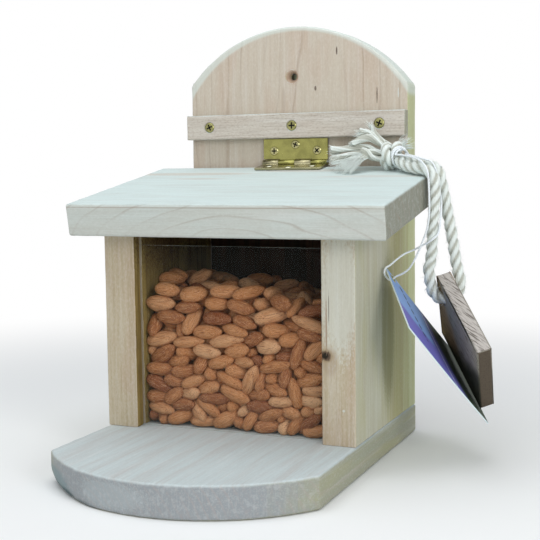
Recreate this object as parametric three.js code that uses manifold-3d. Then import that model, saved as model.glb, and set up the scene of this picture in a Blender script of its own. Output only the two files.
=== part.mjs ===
// Squirrel feeder box: a pine box with a clear front, a hinged lid that falls shut, a landing
// ledge, a tall arched back board and a rope loop that carries a wooden tag and a card.
// Millimetres, +Z up, front towards -Y. The origin is under the middle of the feeder.
import * as THREE from 'three';
import { mergeVertices } from 'three/addons/utils/BufferGeometryUtils.js';
import Module from 'manifold-3d';

const wasm = await Module();
wasm.setup();

// Driving dimensions of the box
const boxWidth = 140;
const boxDepth = 91.7;
const panelThickness = 17.8;
const panelFrontHeight = 104.3;
const lidTilt = THREE.MathUtils.degToRad(9.44);

// Base board, whose front is the landing ledge. Its arc is a little to the left.
const baseThickness = 16.1;
const ledgeReach = 88.3;
const ledgeRadius = 86;
const ledgeShift = -1.5;

// Back board, whose arch is a little to the left and meets its sides in small shoulders
const totalHeight = 232.5;
const archRadius = 84;
const archShift = -1.5;
const shoulderRadius = 6;
const backWidth = 133.5;
const backThickness = 15;
const hangingHoleRadius = 2;
const hangingSinkRadius = 4.2;
const hangingSinkDepth = 2.6;
const hangingHoleDrop = 28.3;
const hangingHoleShift = -2;

// Lid
const lidWidth = 172.4;
const lidLength = 106.9;
const lidThickness = 17.2;
const lidSideShift = 0.65;
const lidBackGap = 0.4;

// Batten across the back board
const battenHeight = 14.1;
const battenThickness = 6.5;

// Clear window in its grooves
const paneThickness = 2;
const paneHeight = 96.5;
const grooveSetback = 6.2;
const grooveDepth = 4.5;
const paneEndGap = 0.5;

// Butt hinge
const hingeWidth = 39.6;
const hingeSideShift = 0.3;
const leafLength = 13.7;
const leafThickness = 1.2;
const knuckleRadius = 1.8;
const pinRadius = 0.85;
const hingeScrewSpread = 13.2;
const hingeScrewNear = 6.8;
const hingeScrewFar = 10.3;

// Wood screws: head radius, shank radius, length, head height and how far the head is sunk
const battenScrew = { head: 3, shank: 1.3, length: 16, headHeight: 1.8, sink: 0.1 };
const hingeScrew = { head: 2.6, shank: 1.1, length: 10, headHeight: 1.5, sink: -0.2 };
const frameScrew = { head: 3.8, shank: 1.7, length: 32, headHeight: 2.6, sink: 0.5 };
const recessSpanShare = 0.62;
const recessWidthShare = 0.22;
const recessDepthShare = 0.6;
const pointShare = 0.12;
const battenScrewSpacing = 52;
const baseScrewInset = 19;
const backScrewInset = 26;
const baseScrewSpacing = 66;

// Nuts that fill the box
const heapFrontHeight = 76.5;
const heapRise = 11;
const heapColumns = 12;
const heapRows = 10;
const heapStartShare = 0.15;
const heapSpanShare = 0.6;

// Working gaps and small edges
const jointGap = 0.05;
const seatGap = 0.3;
const boardArris = 1;
const smallArris = 0.5;
const overrun = 1;
const roundSides = 16;
const arcSides = 28;

// Hanging rope with its knot and frayed ends. The points of what hangs are counted from a spot that
// lies inward from the lid's right side, forward from the back board and down from the lid's top.
const hangingSpot = { inward: 90.1, forward: 91.75, down: 153.4 };
const ropeDiameter = 6;
const ropeSides = 12;
const ropeStep = 3.5;
const knotRadius = 8.1;
const knotCentre = [64.5, 75.5, 159.2];
const knotCoreShare = 0.8;
const knotTurnShare = 0.62;
const knotTubeShare = 0.36;

// String of the card
const stringDiameter = 1;
const stringSides = 8;
const stringStep = 3;

// Wooden tag
const tagLength = 54;
const tagWidth = 49;
const tagThickness = 7;
const tagHoleRadius = 4.2;
const tagHoleAlong = 7.4;
const tagHoleAcross = 11.6;
const tagCorner = [96.7, 50.6, 96.9];
const tagAlong = new THREE.Vector3(0.5244, -0.5702, -0.6323);
const tagAcross = new THREE.Vector3(-0.1135, 0.6892, -0.7156);

// Card
const cardWidth = 54;
const cardLength = 79;
const cardThickness = 0.6;
const cardHoleRadius = 1.8;
const cardHoleAlong = 5.4;
const cardHoleAcross = 4.6;
const cardCorner = [71.6, 44.2, 100.9];
const cardAcross = new THREE.Vector3(0.4535, -0.7675, -0.4552);
const cardAlong = new THREE.Vector3(0.3412, 0.6204, -0.7059);

// Places worked out from the driving dimensions
const innerHalfWidth = boxWidth / 2 - panelThickness;
const boxFloor = baseThickness + jointGap;
const backFront = boxDepth + jointGap;
const backRear = backFront + backThickness;
const backCentreX = (boxWidth - backWidth) / 2;
const lidCentreX = backCentreX + lidSideShift;
const hingeCentreX = backCentreX + hingeSideShift;
const leafSeat = seatGap + knuckleRadius;
const leafFace = leafThickness - knuckleRadius;
const axisY = backFront - leafSeat;
const lidUndersideFront = boxFloor + panelFrontHeight + seatGap;
const axisZ = lidUndersideFront + axisY * Math.tan(lidTilt)
  + (lidThickness + leafSeat) / Math.cos(lidTilt);
const lidRearY = (leafSeat - lidBackGap - (leafSeat + lidThickness) * Math.sin(lidTilt))
  / Math.cos(lidTilt);
const lidTopRear = axisZ + (backFront - axisY) * Math.tan(lidTilt) - leafSeat / Math.cos(lidTilt);
const battenBottom = axisZ + leafLength + seatGap;
const battenFront = backFront - jointGap - battenThickness;
const grooveWidth = paneThickness + 2 * seatGap;
const paneCentreY = grooveSetback + grooveWidth / 2;
const ledgeArcY = ledgeRadius - ledgeReach;
const archZ = totalHeight - archRadius;

// Finishes
function finish(color, roughness, metalness = 0, extra = {}) {
  return new THREE.MeshStandardMaterial({ color, roughness, metalness, ...extra });
}

const pine = finish(0xc9c0a8, 0.75);
const pineCool = finish(0xb9c4c2, 0.75);
const pineOlive = finish(0xb0ae8c, 0.78);
const brass = finish(0xc2a646, 0.3, 1);
const yellowZinc = finish(0xb5a24c, 0.4, 1);
const acrylic = finish(0xdfe8e6, 0.08, 0, { transparent: true, opacity: 0.3 });
const nutSkin = finish(0x9a6238, 0.6);
const cotton = finish(0xe2e2da, 0.95);
const tagWood = finish(0x8f8478, 0.8);
const printedCard = finish(0x6a6fb4, 0.5);

// Solids and how they are joined and cut
function toSolid(geometry) {
  const plain = geometry.clone();
  plain.deleteAttribute('normal');
  plain.deleteAttribute('uv');
  const merged = mergeVertices(plain);
  const vertProperties = merged.getAttribute('position').array;
  const triVerts = Uint32Array.from(merged.getIndex().array);
  return new wasm.Manifold(new wasm.Mesh({ numProp: 3, vertProperties, triVerts }));
}

function toGeometry(solid) {
  const mesh = solid.getMesh();
  const geometry = new THREE.BufferGeometry();
  geometry.setAttribute('position', new THREE.BufferAttribute(mesh.vertProperties, 3));
  geometry.setIndex(new THREE.BufferAttribute(mesh.triVerts, 1));
  geometry.computeVertexNormals();
  return geometry;
}

function cut(geometry, tools) {
  const whole = toSolid(geometry);
  return toGeometry(tools.reduce((solid, tool) => solid.subtract(toSolid(tool)), whole));
}

function join(geometries) {
  const [first, ...others] = geometries.map(toSolid);
  return toGeometry(others.reduce((solid, other) => solid.add(other), first));
}

function named(name, geometry, material) {
  const mesh = new THREE.Mesh(geometry, material);
  mesh.name = name;
  return mesh;
}

// Turns that lay a solid's +Z along another direction
const faceFront = new THREE.Matrix4().makeRotationX(Math.PI / 2);
const faceBack = new THREE.Matrix4().makeRotationX(-Math.PI / 2);
const faceDown = new THREE.Matrix4().makeRotationX(Math.PI);
const faceUp = new THREE.Matrix4();

function placed(turn, x, y, z) {
  return new THREE.Matrix4().makeTranslation(x, y, z).multiply(turn);
}

function axes(along, across) {
  const x = along.clone().normalize();
  const z = new THREE.Vector3().crossVectors(along, across).normalize();
  const y = new THREE.Vector3().crossVectors(z, x);
  return new THREE.Matrix4().makeBasis(x, y, z);
}

// A board cut from an outline, its thickness along +Z, with a small arris round both faces
function board(outline, thickness, arris = boardArris) {
  const geometry = new THREE.ExtrudeGeometry(outline, {
    depth: thickness - 2 * arris,
    bevelEnabled: true,
    bevelThickness: arris,
    bevelSize: arris,
    bevelOffset: -arris,
    bevelSegments: 1,
    curveSegments: arcSides,
  });
  return geometry.translate(0, 0, arris);
}

function outline(corners) {
  const shape = new THREE.Shape();
  shape.setFromPoints(corners.map(([x, y]) => new THREE.Vector2(x, y)));
  return shape;
}

function rectangle(x0, y0, x1, y1) {
  return outline([[x0, y0], [x1, y0], [x1, y1], [x0, y1]]);
}

function block(x0, y0, z0, x1, y1, z1) {
  const box = new THREE.BoxGeometry(x1 - x0, y1 - y0, z1 - z0);
  return box.translate((x0 + x1) / 2, (y0 + y1) / 2, (z0 + z1) / 2);
}

// A solid turned about +Z, from radius and height pairs that start and end on the axis
function turned(profile, sides = roundSides) {
  const points = profile.map(([radius, height]) => new THREE.Vector2(radius, height));
  return new THREE.LatheGeometry(points, sides).rotateX(Math.PI / 2);
}

function rod(radius, length) {
  return turned([[0, 0], [radius, 0], [radius, length], [0, length]]);
}

// Screws: the head is at the local origin and faces +Z, and the shank runs along -Z
function screwProfile({ head, shank, length, headHeight }, grow, above) {
  const mouth = above > 0 ? [[head + grow, above]] : [];
  return [
    [0, -length - grow],
    [shank + grow, -length * (1 - pointShare)],
    [shank + grow, -headHeight],
    [head + grow, 0],
    ...mouth,
    [0, above],
  ];
}

function screwSolid(screw) {
  const span = 2 * screw.head * recessSpanShare;
  const width = 2 * screw.head * recessWidthShare;
  const depth = 2 * screw.headHeight * recessDepthShare;
  const slot = new THREE.BoxGeometry(span, width, depth);
  const slots = [slot.clone().rotateZ(Math.PI / 4), slot.clone().rotateZ(-Math.PI / 4)];
  return cut(turned(screwProfile(screw, 0, 0)), slots);
}

function screwAt(name, screw, turn, x, y, z) {
  const sunk = new THREE.Matrix4().makeTranslation(0, 0, -screw.sink);
  return { name, screw, matrix: placed(turn, x, y, z).multiply(sunk) };
}

function screwTool({ screw, matrix }) {
  return turned(screwProfile(screw, seatGap, screw.sink + overrun)).applyMatrix4(matrix);
}

function screwMesh({ name, screw, matrix }, material) {
  const mesh = named(name, screwSolid(screw), material);
  matrix.decompose(mesh.position, mesh.quaternion, mesh.scale);
  return mesh;
}

// Screws of the frame, where each one goes in
const panelCentreX = boxWidth / 2 - panelThickness / 2;
const backLeftX = backCentreX - backWidth / 2;
const leftOverlapX = (backLeftX - innerHalfWidth) / 2;
const backMiddleY = (backFront + backRear) / 2;
const battenMiddleZ = battenBottom + battenHeight / 2;
const backScrewLowZ = boxFloor + backScrewInset;
const backScrewHighZ = boxFloor + panelFrontHeight - backScrewInset;

const battenScrews = [-1, 0, 1].map((place, index) => screwAt(
  `batten_screw_${index + 1}`,
  battenScrew,
  faceFront,
  backCentreX + place * battenScrewSpacing,
  battenFront,
  battenMiddleZ,
));

const baseScrews = [
  [-panelCentreX, baseScrewInset],
  [-panelCentreX, boxDepth - baseScrewInset],
  [panelCentreX, baseScrewInset],
  [panelCentreX, boxDepth - baseScrewInset],
  [backCentreX - baseScrewSpacing / 2, backMiddleY],
  [backCentreX + baseScrewSpacing / 2, backMiddleY],
].map(([x, y], index) => screwAt(`base_screw_${index + 1}`, frameScrew, faceDown, x, y, 0));

const backScrews = [
  [leftOverlapX, backScrewLowZ],
  [leftOverlapX, backScrewHighZ],
  [panelCentreX, backScrewLowZ],
  [panelCentreX, backScrewHighZ],
].map(([x, z], index) => screwAt(`back_screw_${index + 1}`, frameScrew, faceBack, x, backRear, z));

// Screws of one hinge leaf, in that leaf's own frame
const leafScrewPlaces = [
  [-hingeScrewSpread, hingeScrewNear],
  [0, hingeScrewFar],
  [hingeScrewSpread, hingeScrewNear],
];

function leafScrews(name, frame) {
  return leafScrewPlaces.map(([x, y], index) => {
    const { matrix } = screwAt(name, hingeScrew, faceUp, x, y, leafFace);
    return { name: `${name}_${index + 1}`, screw: hingeScrew, matrix: frame.clone().multiply(matrix) };
  });
}

const wallLeafFrame = placed(faceFront, hingeCentreX, axisY, axisZ);
const lidLeafFrame = placed(new THREE.Matrix4().makeRotationZ(Math.PI), hingeCentreX, 0, 0);
const wallScrews = leafScrews('hinge_wall_screw', wallLeafFrame);
const lidScrews = leafScrews('hinge_lid_screw', lidLeafFrame);

// Base board with the round landing ledge
function baseGeometry() {
  const half = boxWidth / 2;
  const start = -Math.acos((half - ledgeShift) / ledgeRadius);
  const end = -Math.PI + Math.acos((half + ledgeShift) / ledgeRadius);
  const shape = new THREE.Shape();
  shape.moveTo(-half, backRear);
  shape.lineTo(half, backRear);
  shape.lineTo(half, ledgeArcY + ledgeRadius * Math.sin(start));
  shape.absarc(ledgeShift, ledgeArcY, ledgeRadius, start, end, true);
  shape.closePath();
  return cut(board(shape, baseThickness), baseScrews.map(screwTool));
}

// Side panel, drawn as depth and height and laid across X from its left face
const acrossX = new THREE.Matrix4().makeBasis(
  new THREE.Vector3(0, 1, 0),
  new THREE.Vector3(0, 0, 1),
  new THREE.Vector3(1, 0, 0),
);

function sidePanelGeometry(side) {
  const rearHeight = panelFrontHeight + boxDepth * Math.tan(lidTilt);
  const profile = outline([
    [0, boxFloor],
    [boxDepth, boxFloor],
    [boxDepth, boxFloor + rearHeight],
    [0, boxFloor + panelFrontHeight],
  ]);
  const innerFace = side * innerHalfWidth;
  const leftFace = side < 0 ? -boxWidth / 2 : innerHalfWidth;
  const geometry = board(profile, panelThickness, smallArris)
    .applyMatrix4(acrossX)
    .translate(leftFace, 0, 0);
  const groove = block(
    Math.min(innerFace - side * overrun, innerFace + side * grooveDepth),
    grooveSetback,
    boxFloor - overrun,
    Math.max(innerFace - side * overrun, innerFace + side * grooveDepth),
    grooveSetback + grooveWidth,
    boxFloor + rearHeight,
  );
  return cut(geometry, [groove, ...[...baseScrews, ...backScrews].map(screwTool)]);
}

// Back board with its arched top, drawn as width and height and laid back along Y. Each shoulder is
// a small arc that touches both the board's side and the arch.
function backBoardGeometry() {
  const half = backWidth / 2;
  const inset = half - shoulderRadius;
  const [right, left] = [inset - archShift, -inset - archShift].map((across) => {
    const angle = Math.acos(across / (archRadius - shoulderRadius));
    return { angle, z: archZ + (archRadius - shoulderRadius) * Math.sin(angle) };
  });
  const shape = new THREE.Shape();
  shape.moveTo(-half, boxFloor);
  shape.lineTo(half, boxFloor);
  shape.lineTo(half, right.z);
  shape.absarc(inset, right.z, shoulderRadius, 0, right.angle, false);
  shape.absarc(archShift, archZ, archRadius, right.angle, left.angle, false);
  shape.absarc(-inset, left.z, shoulderRadius, left.angle, Math.PI, false);
  shape.closePath();
  const geometry = board(shape, backThickness)
    .applyMatrix4(placed(faceFront, backCentreX, backRear, 0));
  const holeX = backCentreX + hangingHoleShift;
  const holeZ = totalHeight - hangingHoleDrop;
  const hole = rod(hangingHoleRadius, backThickness + 2 * overrun)
    .applyMatrix4(placed(faceBack, holeX, backFront - overrun, holeZ));
  const sink = turned([
    [0, -hangingSinkDepth],
    [hangingHoleRadius, -hangingSinkDepth],
    [hangingSinkRadius, 0],
    [hangingSinkRadius, overrun],
    [0, overrun],
  ]).applyMatrix4(placed(faceFront, holeX, backFront, holeZ));
  const screws = [...battenScrews, ...wallScrews, ...baseScrews, ...backScrews];
  return cut(geometry, [hole, sink, ...screws.map(screwTool)]);
}

function battenGeometry() {
  const half = backWidth / 2;
  const shape = rectangle(-half, battenBottom, half, battenBottom + battenHeight);
  const geometry = board(shape, battenThickness, smallArris)
    .applyMatrix4(placed(faceFront, backCentreX, battenFront + battenThickness, 0));
  return cut(geometry, battenScrews.map(screwTool));
}

// Lid in its own frame: the hinge axis is the origin's X, and the lid runs towards -Y below it
function lidGeometry() {
  const half = lidWidth / 2;
  const shape = rectangle(lidCentreX - half, lidRearY - lidLength, lidCentreX + half, lidRearY);
  const geometry = board(shape, lidThickness).translate(0, 0, -leafSeat - lidThickness);
  return cut(geometry, lidScrews.map(screwTool));
}

function paneGeometry() {
  const half = innerHalfWidth + grooveDepth - paneEndGap;
  const floor = boxFloor + seatGap;
  const front = paneCentreY - paneThickness / 2;
  return block(-half, front, floor, half, front + paneThickness, floor + paneHeight);
}

// One leaf of the hinge in its own frame: the axis is X, the leaf runs towards +Y
const knuckleCount = 4;
const knuckleWidth = (hingeWidth - (knuckleCount - 1) * seatGap) / knuckleCount;

const knuckleIndices = Array.from({ length: knuckleCount }, (_, index) => index);
const ownKnuckles = knuckleIndices.filter((index) => index % 2 === 1);
const otherKnuckles = knuckleIndices.filter((index) => index % 2 === 0);

function knuckleStart(index) {
  return -hingeWidth / 2 + index * (knuckleWidth + seatGap);
}

function leafGeometry() {
  const alongX = new THREE.Matrix4().makeRotationY(Math.PI / 2);
  const plate = block(-hingeWidth / 2, 0, -knuckleRadius, hingeWidth / 2, leafLength, leafFace);
  const knuckles = ownKnuckles.map((index) => rod(knuckleRadius, knuckleWidth)
    .applyMatrix4(placed(alongX, knuckleStart(index), 0, 0)));
  const reach = knuckleRadius + seatGap;
  const notches = otherKnuckles.map((index) => block(
    knuckleStart(index) - seatGap,
    -reach,
    -reach,
    knuckleStart(index) + knuckleWidth + seatGap,
    reach,
    reach,
  ));
  const bore = rod(pinRadius + seatGap, hingeWidth + 2 * overrun)
    .applyMatrix4(placed(alongX, -hingeWidth / 2 - overrun, 0, 0));
  const holes = leafScrews('', new THREE.Matrix4()).map(screwTool);
  return cut(join([plate, ...knuckles]), [...notches, bore, ...holes]);
}

function leafMesh(name, frame) {
  const mesh = named(name, leafGeometry(), brass);
  frame.decompose(mesh.position, mesh.quaternion, mesh.scale);
  return mesh;
}

function pinGeometry() {
  const alongX = new THREE.Matrix4().makeRotationY(Math.PI / 2);
  return rod(pinRadius, hingeWidth)
    .applyMatrix4(placed(alongX, hingeCentreX - hingeWidth / 2, axisY, axisZ));
}

// Nuts heaped in the box, a little higher in the middle and to the back
function heapGeometry() {
  const width = 2 * (innerHalfWidth - seatGap);
  const front = paneCentreY + paneThickness / 2 + seatGap;
  const depth = backFront - seatGap - front;
  const floor = boxFloor + jointGap;
  const geometry = new THREE.BoxGeometry(width, depth, heapFrontHeight, heapColumns, heapRows, 1);
  geometry.translate(0, front + depth / 2, floor + heapFrontHeight / 2);
  const place = geometry.getAttribute('position');
  for (let index = 0; index < place.count; index += 1) {
    if (place.getZ(index) > floor + heapFrontHeight / 2) {
      const aside = (2 * place.getX(index)) / width;
      const back = (place.getY(index) - front) / depth;
      const swell = Math.sin(Math.PI * (heapStartShare + heapSpanShare * back));
      place.setZ(index, place.getZ(index) + heapRise * (1 - aside * aside) * swell);
    }
  }
  return geometry;
}

// Rope and string as plain round tubes along their routes
function tube(points, diameter, sides, step) {
  const curve = new THREE.CatmullRomCurve3(
    points.map(([x, y, z]) => new THREE.Vector3(x, y, z)),
    false,
    'centripetal',
  );
  const section = outline(Array.from({ length: sides }, (_, index) => {
    const angle = (2 * Math.PI * index) / sides;
    return [(diameter / 2) * Math.cos(angle), (diameter / 2) * Math.sin(angle)];
  }));
  const steps = Math.round(curve.getLength() / step);
  return new THREE.ExtrudeGeometry(section, { steps, extrudePath: curve });
}

// The doubled rope: out of the knot, over the lid's right edge, down through the tag and back
const ropeRoute = [
  [71, 69.6, 155.1],
  [78, 62.8, 152.4],
  [85, 57.2, 151.3],
  [90.4, 54, 150.7],
  [94.2, 52.8, 147.3],
  [95.4, 52.2, 141.5],
  [95.1, 51.4, 130],
  [94.5, 50.8, 118],
  [94.2, 49.8, 106],
  [93.2, 48.7, 99.5],
  [93.9, 49, 93.8],
  [94.5, 50.4, 88.9],
  [97, 52.8, 85],
  [101.8, 55.7, 84.8],
  [106.6, 58.3, 88.5],
  [107.1, 58.5, 93.5],
  [105.6, 59.6, 99.1],
  [104.2, 60.4, 105],
  [102.2, 60.6, 117],
  [99.9, 60.6, 129],
  [97.4, 60.6, 141],
  [95, 61.4, 149.2],
  [91, 63, 152.4],
  [86, 66.5, 153],
  [79.6, 71.7, 154.5],
  [73.3, 76, 156.2],
];

// The card's string: down in front of the rope, through the card's hole, back across the rope and up
// between its two halves
const stringRoute = [
  [70, 67.6, 158.8],
  [76, 62, 158.2],
  [83, 56.2, 157],
  [89, 50.6, 154.6],
  [92.6, 47.8, 150],
  [93.4, 47.6, 142.5],
  [93.8, 47, 135.2],
  [93.9, 46.4, 128],
  [93, 45.8, 120.7],
  [91, 45.4, 114.8],
  [87.2, 45, 105.9],
  [83.6, 44.8, 100],
  [80, 44.6, 97.4],
  [77.2, 44.4, 96.1],
  [74.2, 43.8, 94.1],
  [72.6, 41.8, 95.9],
  [72.1, 39.9, 98.6],
  [73, 39.8, 100.9],
  [74.5, 40.9, 101.9],
  [78.1, 43.4, 105.3],
  [81.2, 45.6, 107.7],
  [85.6, 47.4, 109.7],
  [89.5, 48, 111.8],
  [93.7, 47, 114.1],
  [95.7, 46.9, 115.5],
  [97.6, 48.5, 117.5],
  [98.5, 49.9, 121],
  [98.7, 51.2, 126],
  [98.2, 54.4, 134],
  [96.9, 56.3, 140],
  [95.6, 57, 147],
  [92.4, 58.3, 154.2],
  [86, 61.8, 156.4],
  [79, 67.4, 158],
  [74.6, 70.4, 158.8],
];

function knotGeometry() {
  const core = new THREE.SphereGeometry(knotRadius * knotCoreShare, roundSides, roundSides / 2);
  const turn = new THREE.TorusGeometry(
    knotRadius * knotTurnShare,
    knotRadius * knotTubeShare,
    ropeSides,
    roundSides,
  );
  const turns = [
    turn.clone().rotateY(Math.PI / 2),
    turn.clone().rotateX(Math.PI / 3),
    turn.clone().rotateX(-Math.PI / 3),
  ];
  return join([core, ...turns]).translate(...knotCentre);
}

// A frayed end: it opens out from the rope and narrows to a soft tip
const frayShares = [[1, 0], [1.15, 0.3], [1.45, 0.65], [1.2, 0.85], [0.5, 1]];

function frayGeometry(start, end) {
  const from = new THREE.Vector3(...start);
  const span = new THREE.Vector3(...end).sub(from);
  const length = span.length();
  const radius = ropeDiameter / 2;
  const profile = frayShares.map(([wide, far]) => [radius * wide, length * far]);
  const turn = new THREE.Quaternion().setFromUnitVectors(new THREE.Vector3(0, 0, 1), span.normalize());
  return turned([[0, 0], ...profile, [0, length]], ropeSides)
    .applyQuaternion(turn)
    .translate(...start);
}

const frays = {
  rope_end_left: [[55.9, 77, 161.6], [31, 77, 160.6]],
  rope_end_top: [[59.8, 77, 165.6], [48.4, 78.4, 175.6]],
  rope_end_low: [[57, 71.2, 158.6], [38.6, 66.2, 153.2]],
};

// A flat piece with a hole near its corner, in its own frame
function flatPiece(length, width, thickness, arris, hole) {
  const shape = rectangle(0, 0, length, width);
  const plate = arris > 0
    ? board(shape, thickness, arris)
    : block(0, 0, 0, length, width, thickness);
  const bore = rod(hole.radius, thickness + 2 * overrun).translate(hole.x, hole.y, -overrun);
  return cut(plate, [bore]);
}

function tagMesh() {
  const hole = { radius: tagHoleRadius, x: tagHoleAlong, y: tagHoleAcross };
  const geometry = flatPiece(tagLength, tagWidth, tagThickness, smallArris, hole);
  const mesh = named('wooden_tag', geometry, tagWood);
  placed(axes(tagAlong, tagAcross), ...tagCorner).decompose(mesh.position, mesh.quaternion, mesh.scale);
  return mesh;
}

function cardMesh() {
  const hole = { radius: cardHoleRadius, x: cardHoleAcross, y: cardHoleAlong };
  const geometry = flatPiece(cardWidth, cardLength, cardThickness, 0, hole);
  geometry.translate(0, 0, -cardThickness);
  const mesh = named('card_tag', geometry, printedCard);
  placed(axes(cardAcross, cardAlong), ...cardCorner)
    .decompose(mesh.position, mesh.quaternion, mesh.scale);
  return mesh;
}

// The assembly
const feeder = new THREE.Group();
feeder.position.set(-lidCentreX, (ledgeReach - backRear) / 2, 0);

feeder.add(
  named('base_board', baseGeometry(), pineCool),
  named('left_side_panel', sidePanelGeometry(-1), pine),
  named('right_side_panel', sidePanelGeometry(1), pineOlive),
  named('back_board', backBoardGeometry(), pine),
  named('stop_batten', battenGeometry(), pine),
  named('window_pane', paneGeometry(), acrylic),
  named('nut_fill', heapGeometry(), nutSkin),
  leafMesh('hinge_wall_leaf', wallLeafFrame),
  named('hinge_pin', pinGeometry(), brass),
);
feeder.add(...battenScrews.map((place) => screwMesh(place, yellowZinc)));
feeder.add(...wallScrews.map((place) => screwMesh(place, brass)));
feeder.add(...baseScrews.map((place) => screwMesh(place, yellowZinc)));
feeder.add(...backScrews.map((place) => screwMesh(place, yellowZinc)));

const lid = new THREE.Group();
lid.position.set(0, axisY, axisZ);
lid.rotation.x = lidTilt;
lid.add(
  named('lid_board', lidGeometry(), pineCool),
  leafMesh('hinge_lid_leaf', lidLeafFrame),
  ...lidScrews.map((place) => screwMesh(place, brass)),
);
feeder.add(lid);

const hangings = new THREE.Group();
hangings.position.set(
  lidCentreX + lidWidth / 2 - hangingSpot.inward,
  backFront - hangingSpot.forward,
  lidTopRear - hangingSpot.down,
);
hangings.add(
  named('rope_loop', tube(ropeRoute, ropeDiameter, ropeSides, ropeStep), cotton),
  named('rope_knot', knotGeometry(), cotton),
  ...Object.entries(frays).map(([name, ends]) => named(name, frayGeometry(...ends), cotton)),
  named('tag_string', tube(stringRoute, stringDiameter, stringSides, stringStep), cotton),
  tagMesh(),
  cardMesh(),
);
feeder.add(hangings);

export default feeder;
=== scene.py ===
# A pine squirrel feeder box with a clear front, a fill of nuts, a hinged lid, and a rope with two tags.

import math

import bmesh
import bpy
import numpy as np
from mathutils import Euler, Matrix, Quaternion, Vector, noise


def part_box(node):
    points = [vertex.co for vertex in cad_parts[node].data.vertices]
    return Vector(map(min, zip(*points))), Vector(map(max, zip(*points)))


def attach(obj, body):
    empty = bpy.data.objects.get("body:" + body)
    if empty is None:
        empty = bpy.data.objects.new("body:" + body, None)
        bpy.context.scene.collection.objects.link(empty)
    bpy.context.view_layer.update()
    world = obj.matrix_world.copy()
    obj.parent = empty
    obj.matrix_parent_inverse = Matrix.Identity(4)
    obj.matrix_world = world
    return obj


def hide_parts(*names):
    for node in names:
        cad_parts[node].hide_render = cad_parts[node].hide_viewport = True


bl_info = {
    "name": "Squirrel feeder box",
    "version": (1, 0, 0),
    "blender": (4, 5, 0),
    "location": "View3D > Sidebar > Feeder",
    "description": "Builds a pine squirrel feeder box with its nuts, hinge, rope and tags",
    "category": "Object",
}

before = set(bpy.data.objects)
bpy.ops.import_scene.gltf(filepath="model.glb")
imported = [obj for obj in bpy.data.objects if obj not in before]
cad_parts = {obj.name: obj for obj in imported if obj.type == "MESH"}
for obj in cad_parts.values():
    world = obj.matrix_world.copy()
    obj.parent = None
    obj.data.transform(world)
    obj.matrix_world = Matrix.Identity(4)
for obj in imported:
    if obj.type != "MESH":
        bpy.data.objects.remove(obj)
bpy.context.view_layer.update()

MM = 0.001

# The box's own middle line is this far from the middle of the whole feeder
BOX_SHIFT = (-3.9, -9.225, 0.0)
HANGING_SHIFT = (0.0, 0.0, 0.041)
LID_TILT = 9.44

# Camera of the photograph
CAMERA_PLACE = (0.2348, -0.5070, 0.1549)
CAMERA_RIGHT = (0.9196, 0.3927, -0.0128)
CAMERA_UP = (-0.0263, 0.0940, 0.9952)
CAMERA_VIEW = (-0.3920, 0.9149, -0.0967)
CAMERA_LENS = 73.08
CAMERA_SENSOR = 36.0
CAMERA_NEAR = 0.01

# Centrelines, in the box's own millimetres
ROPE_ROUTE = (
    (71, 69.6, 155.1), (78, 62.8, 152.4), (85, 57.2, 151.3), (90.4, 54, 150.7),
    (94.2, 52.8, 147.3), (95.4, 52.2, 141.5), (95.1, 51.4, 130), (94.5, 50.8, 118),
    (94.2, 49.8, 106), (93.2, 48.7, 99.5), (93.9, 49, 93.8), (94.5, 50.4, 88.9),
    (97, 52.8, 85), (101.8, 55.7, 84.8), (106.6, 58.3, 88.5), (107.1, 58.5, 93.5),
    (105.6, 59.6, 99.1), (104.2, 60.4, 105), (102.2, 60.6, 117), (99.9, 60.6, 129),
    (97.4, 60.6, 141), (95, 61.4, 149.2), (91, 63, 152.4), (86, 66.5, 153),
    (79.6, 71.7, 154.5), (73.3, 76, 156.2),
)
STRING_ROUTE = (
    (70, 67.6, 158.8), (76, 62, 158.2), (83, 56.2, 157), (89, 50.6, 154.6),
    (92.6, 47.8, 150), (93.4, 47.6, 142.5), (93.8, 47, 135.2), (93.9, 46.4, 128),
    (93, 45.8, 120.7), (91, 45.4, 114.8), (87.2, 45, 105.9), (83.6, 44.8, 100),
    (80, 44.6, 97.4), (77.2, 44.4, 96.1), (74.2, 43.8, 94.1), (72.6, 41.8, 95.9),
    (72.1, 39.9, 98.6), (73, 39.8, 100.9), (74.5, 40.9, 101.9), (78.1, 43.4, 105.3),
    (81.2, 45.6, 107.7), (85.6, 47.4, 109.7), (89.5, 48, 111.8), (93.7, 47, 114.1),
    (95.7, 46.9, 115.5), (97.6, 48.5, 117.5), (98.5, 49.9, 121), (98.7, 51.2, 126),
    (98.2, 54.4, 134), (96.9, 56.3, 140), (95.6, 57, 147), (92.4, 58.3, 154.2),
    (86, 61.8, 156.4), (79, 67.4, 158), (74.6, 70.4, 158.8),
)
ROUTE_STEP = 0.5


def linear(hex_colour):
    """The linear colour of an sRGB hex value."""
    parts = [int(hex_colour[place : place + 2], 16) / 255 for place in (1, 3, 5)]
    return tuple(p / 12.92 if p <= 0.04045 else ((p + 0.055) / 1.055) ** 2.4 for p in parts)


def size_property(name, description, millimetres):
    return bpy.props.FloatProperty(
        name=name, description=description, default=millimetres * MM, min=0, unit="LENGTH", subtype="DISTANCE"
    )


def colour_property(name, description, hex_colour):
    return bpy.props.FloatVectorProperty(
        name=name, description=description, default=linear(hex_colour), min=0, max=1, size=3, subtype="COLOR"
    )


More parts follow.
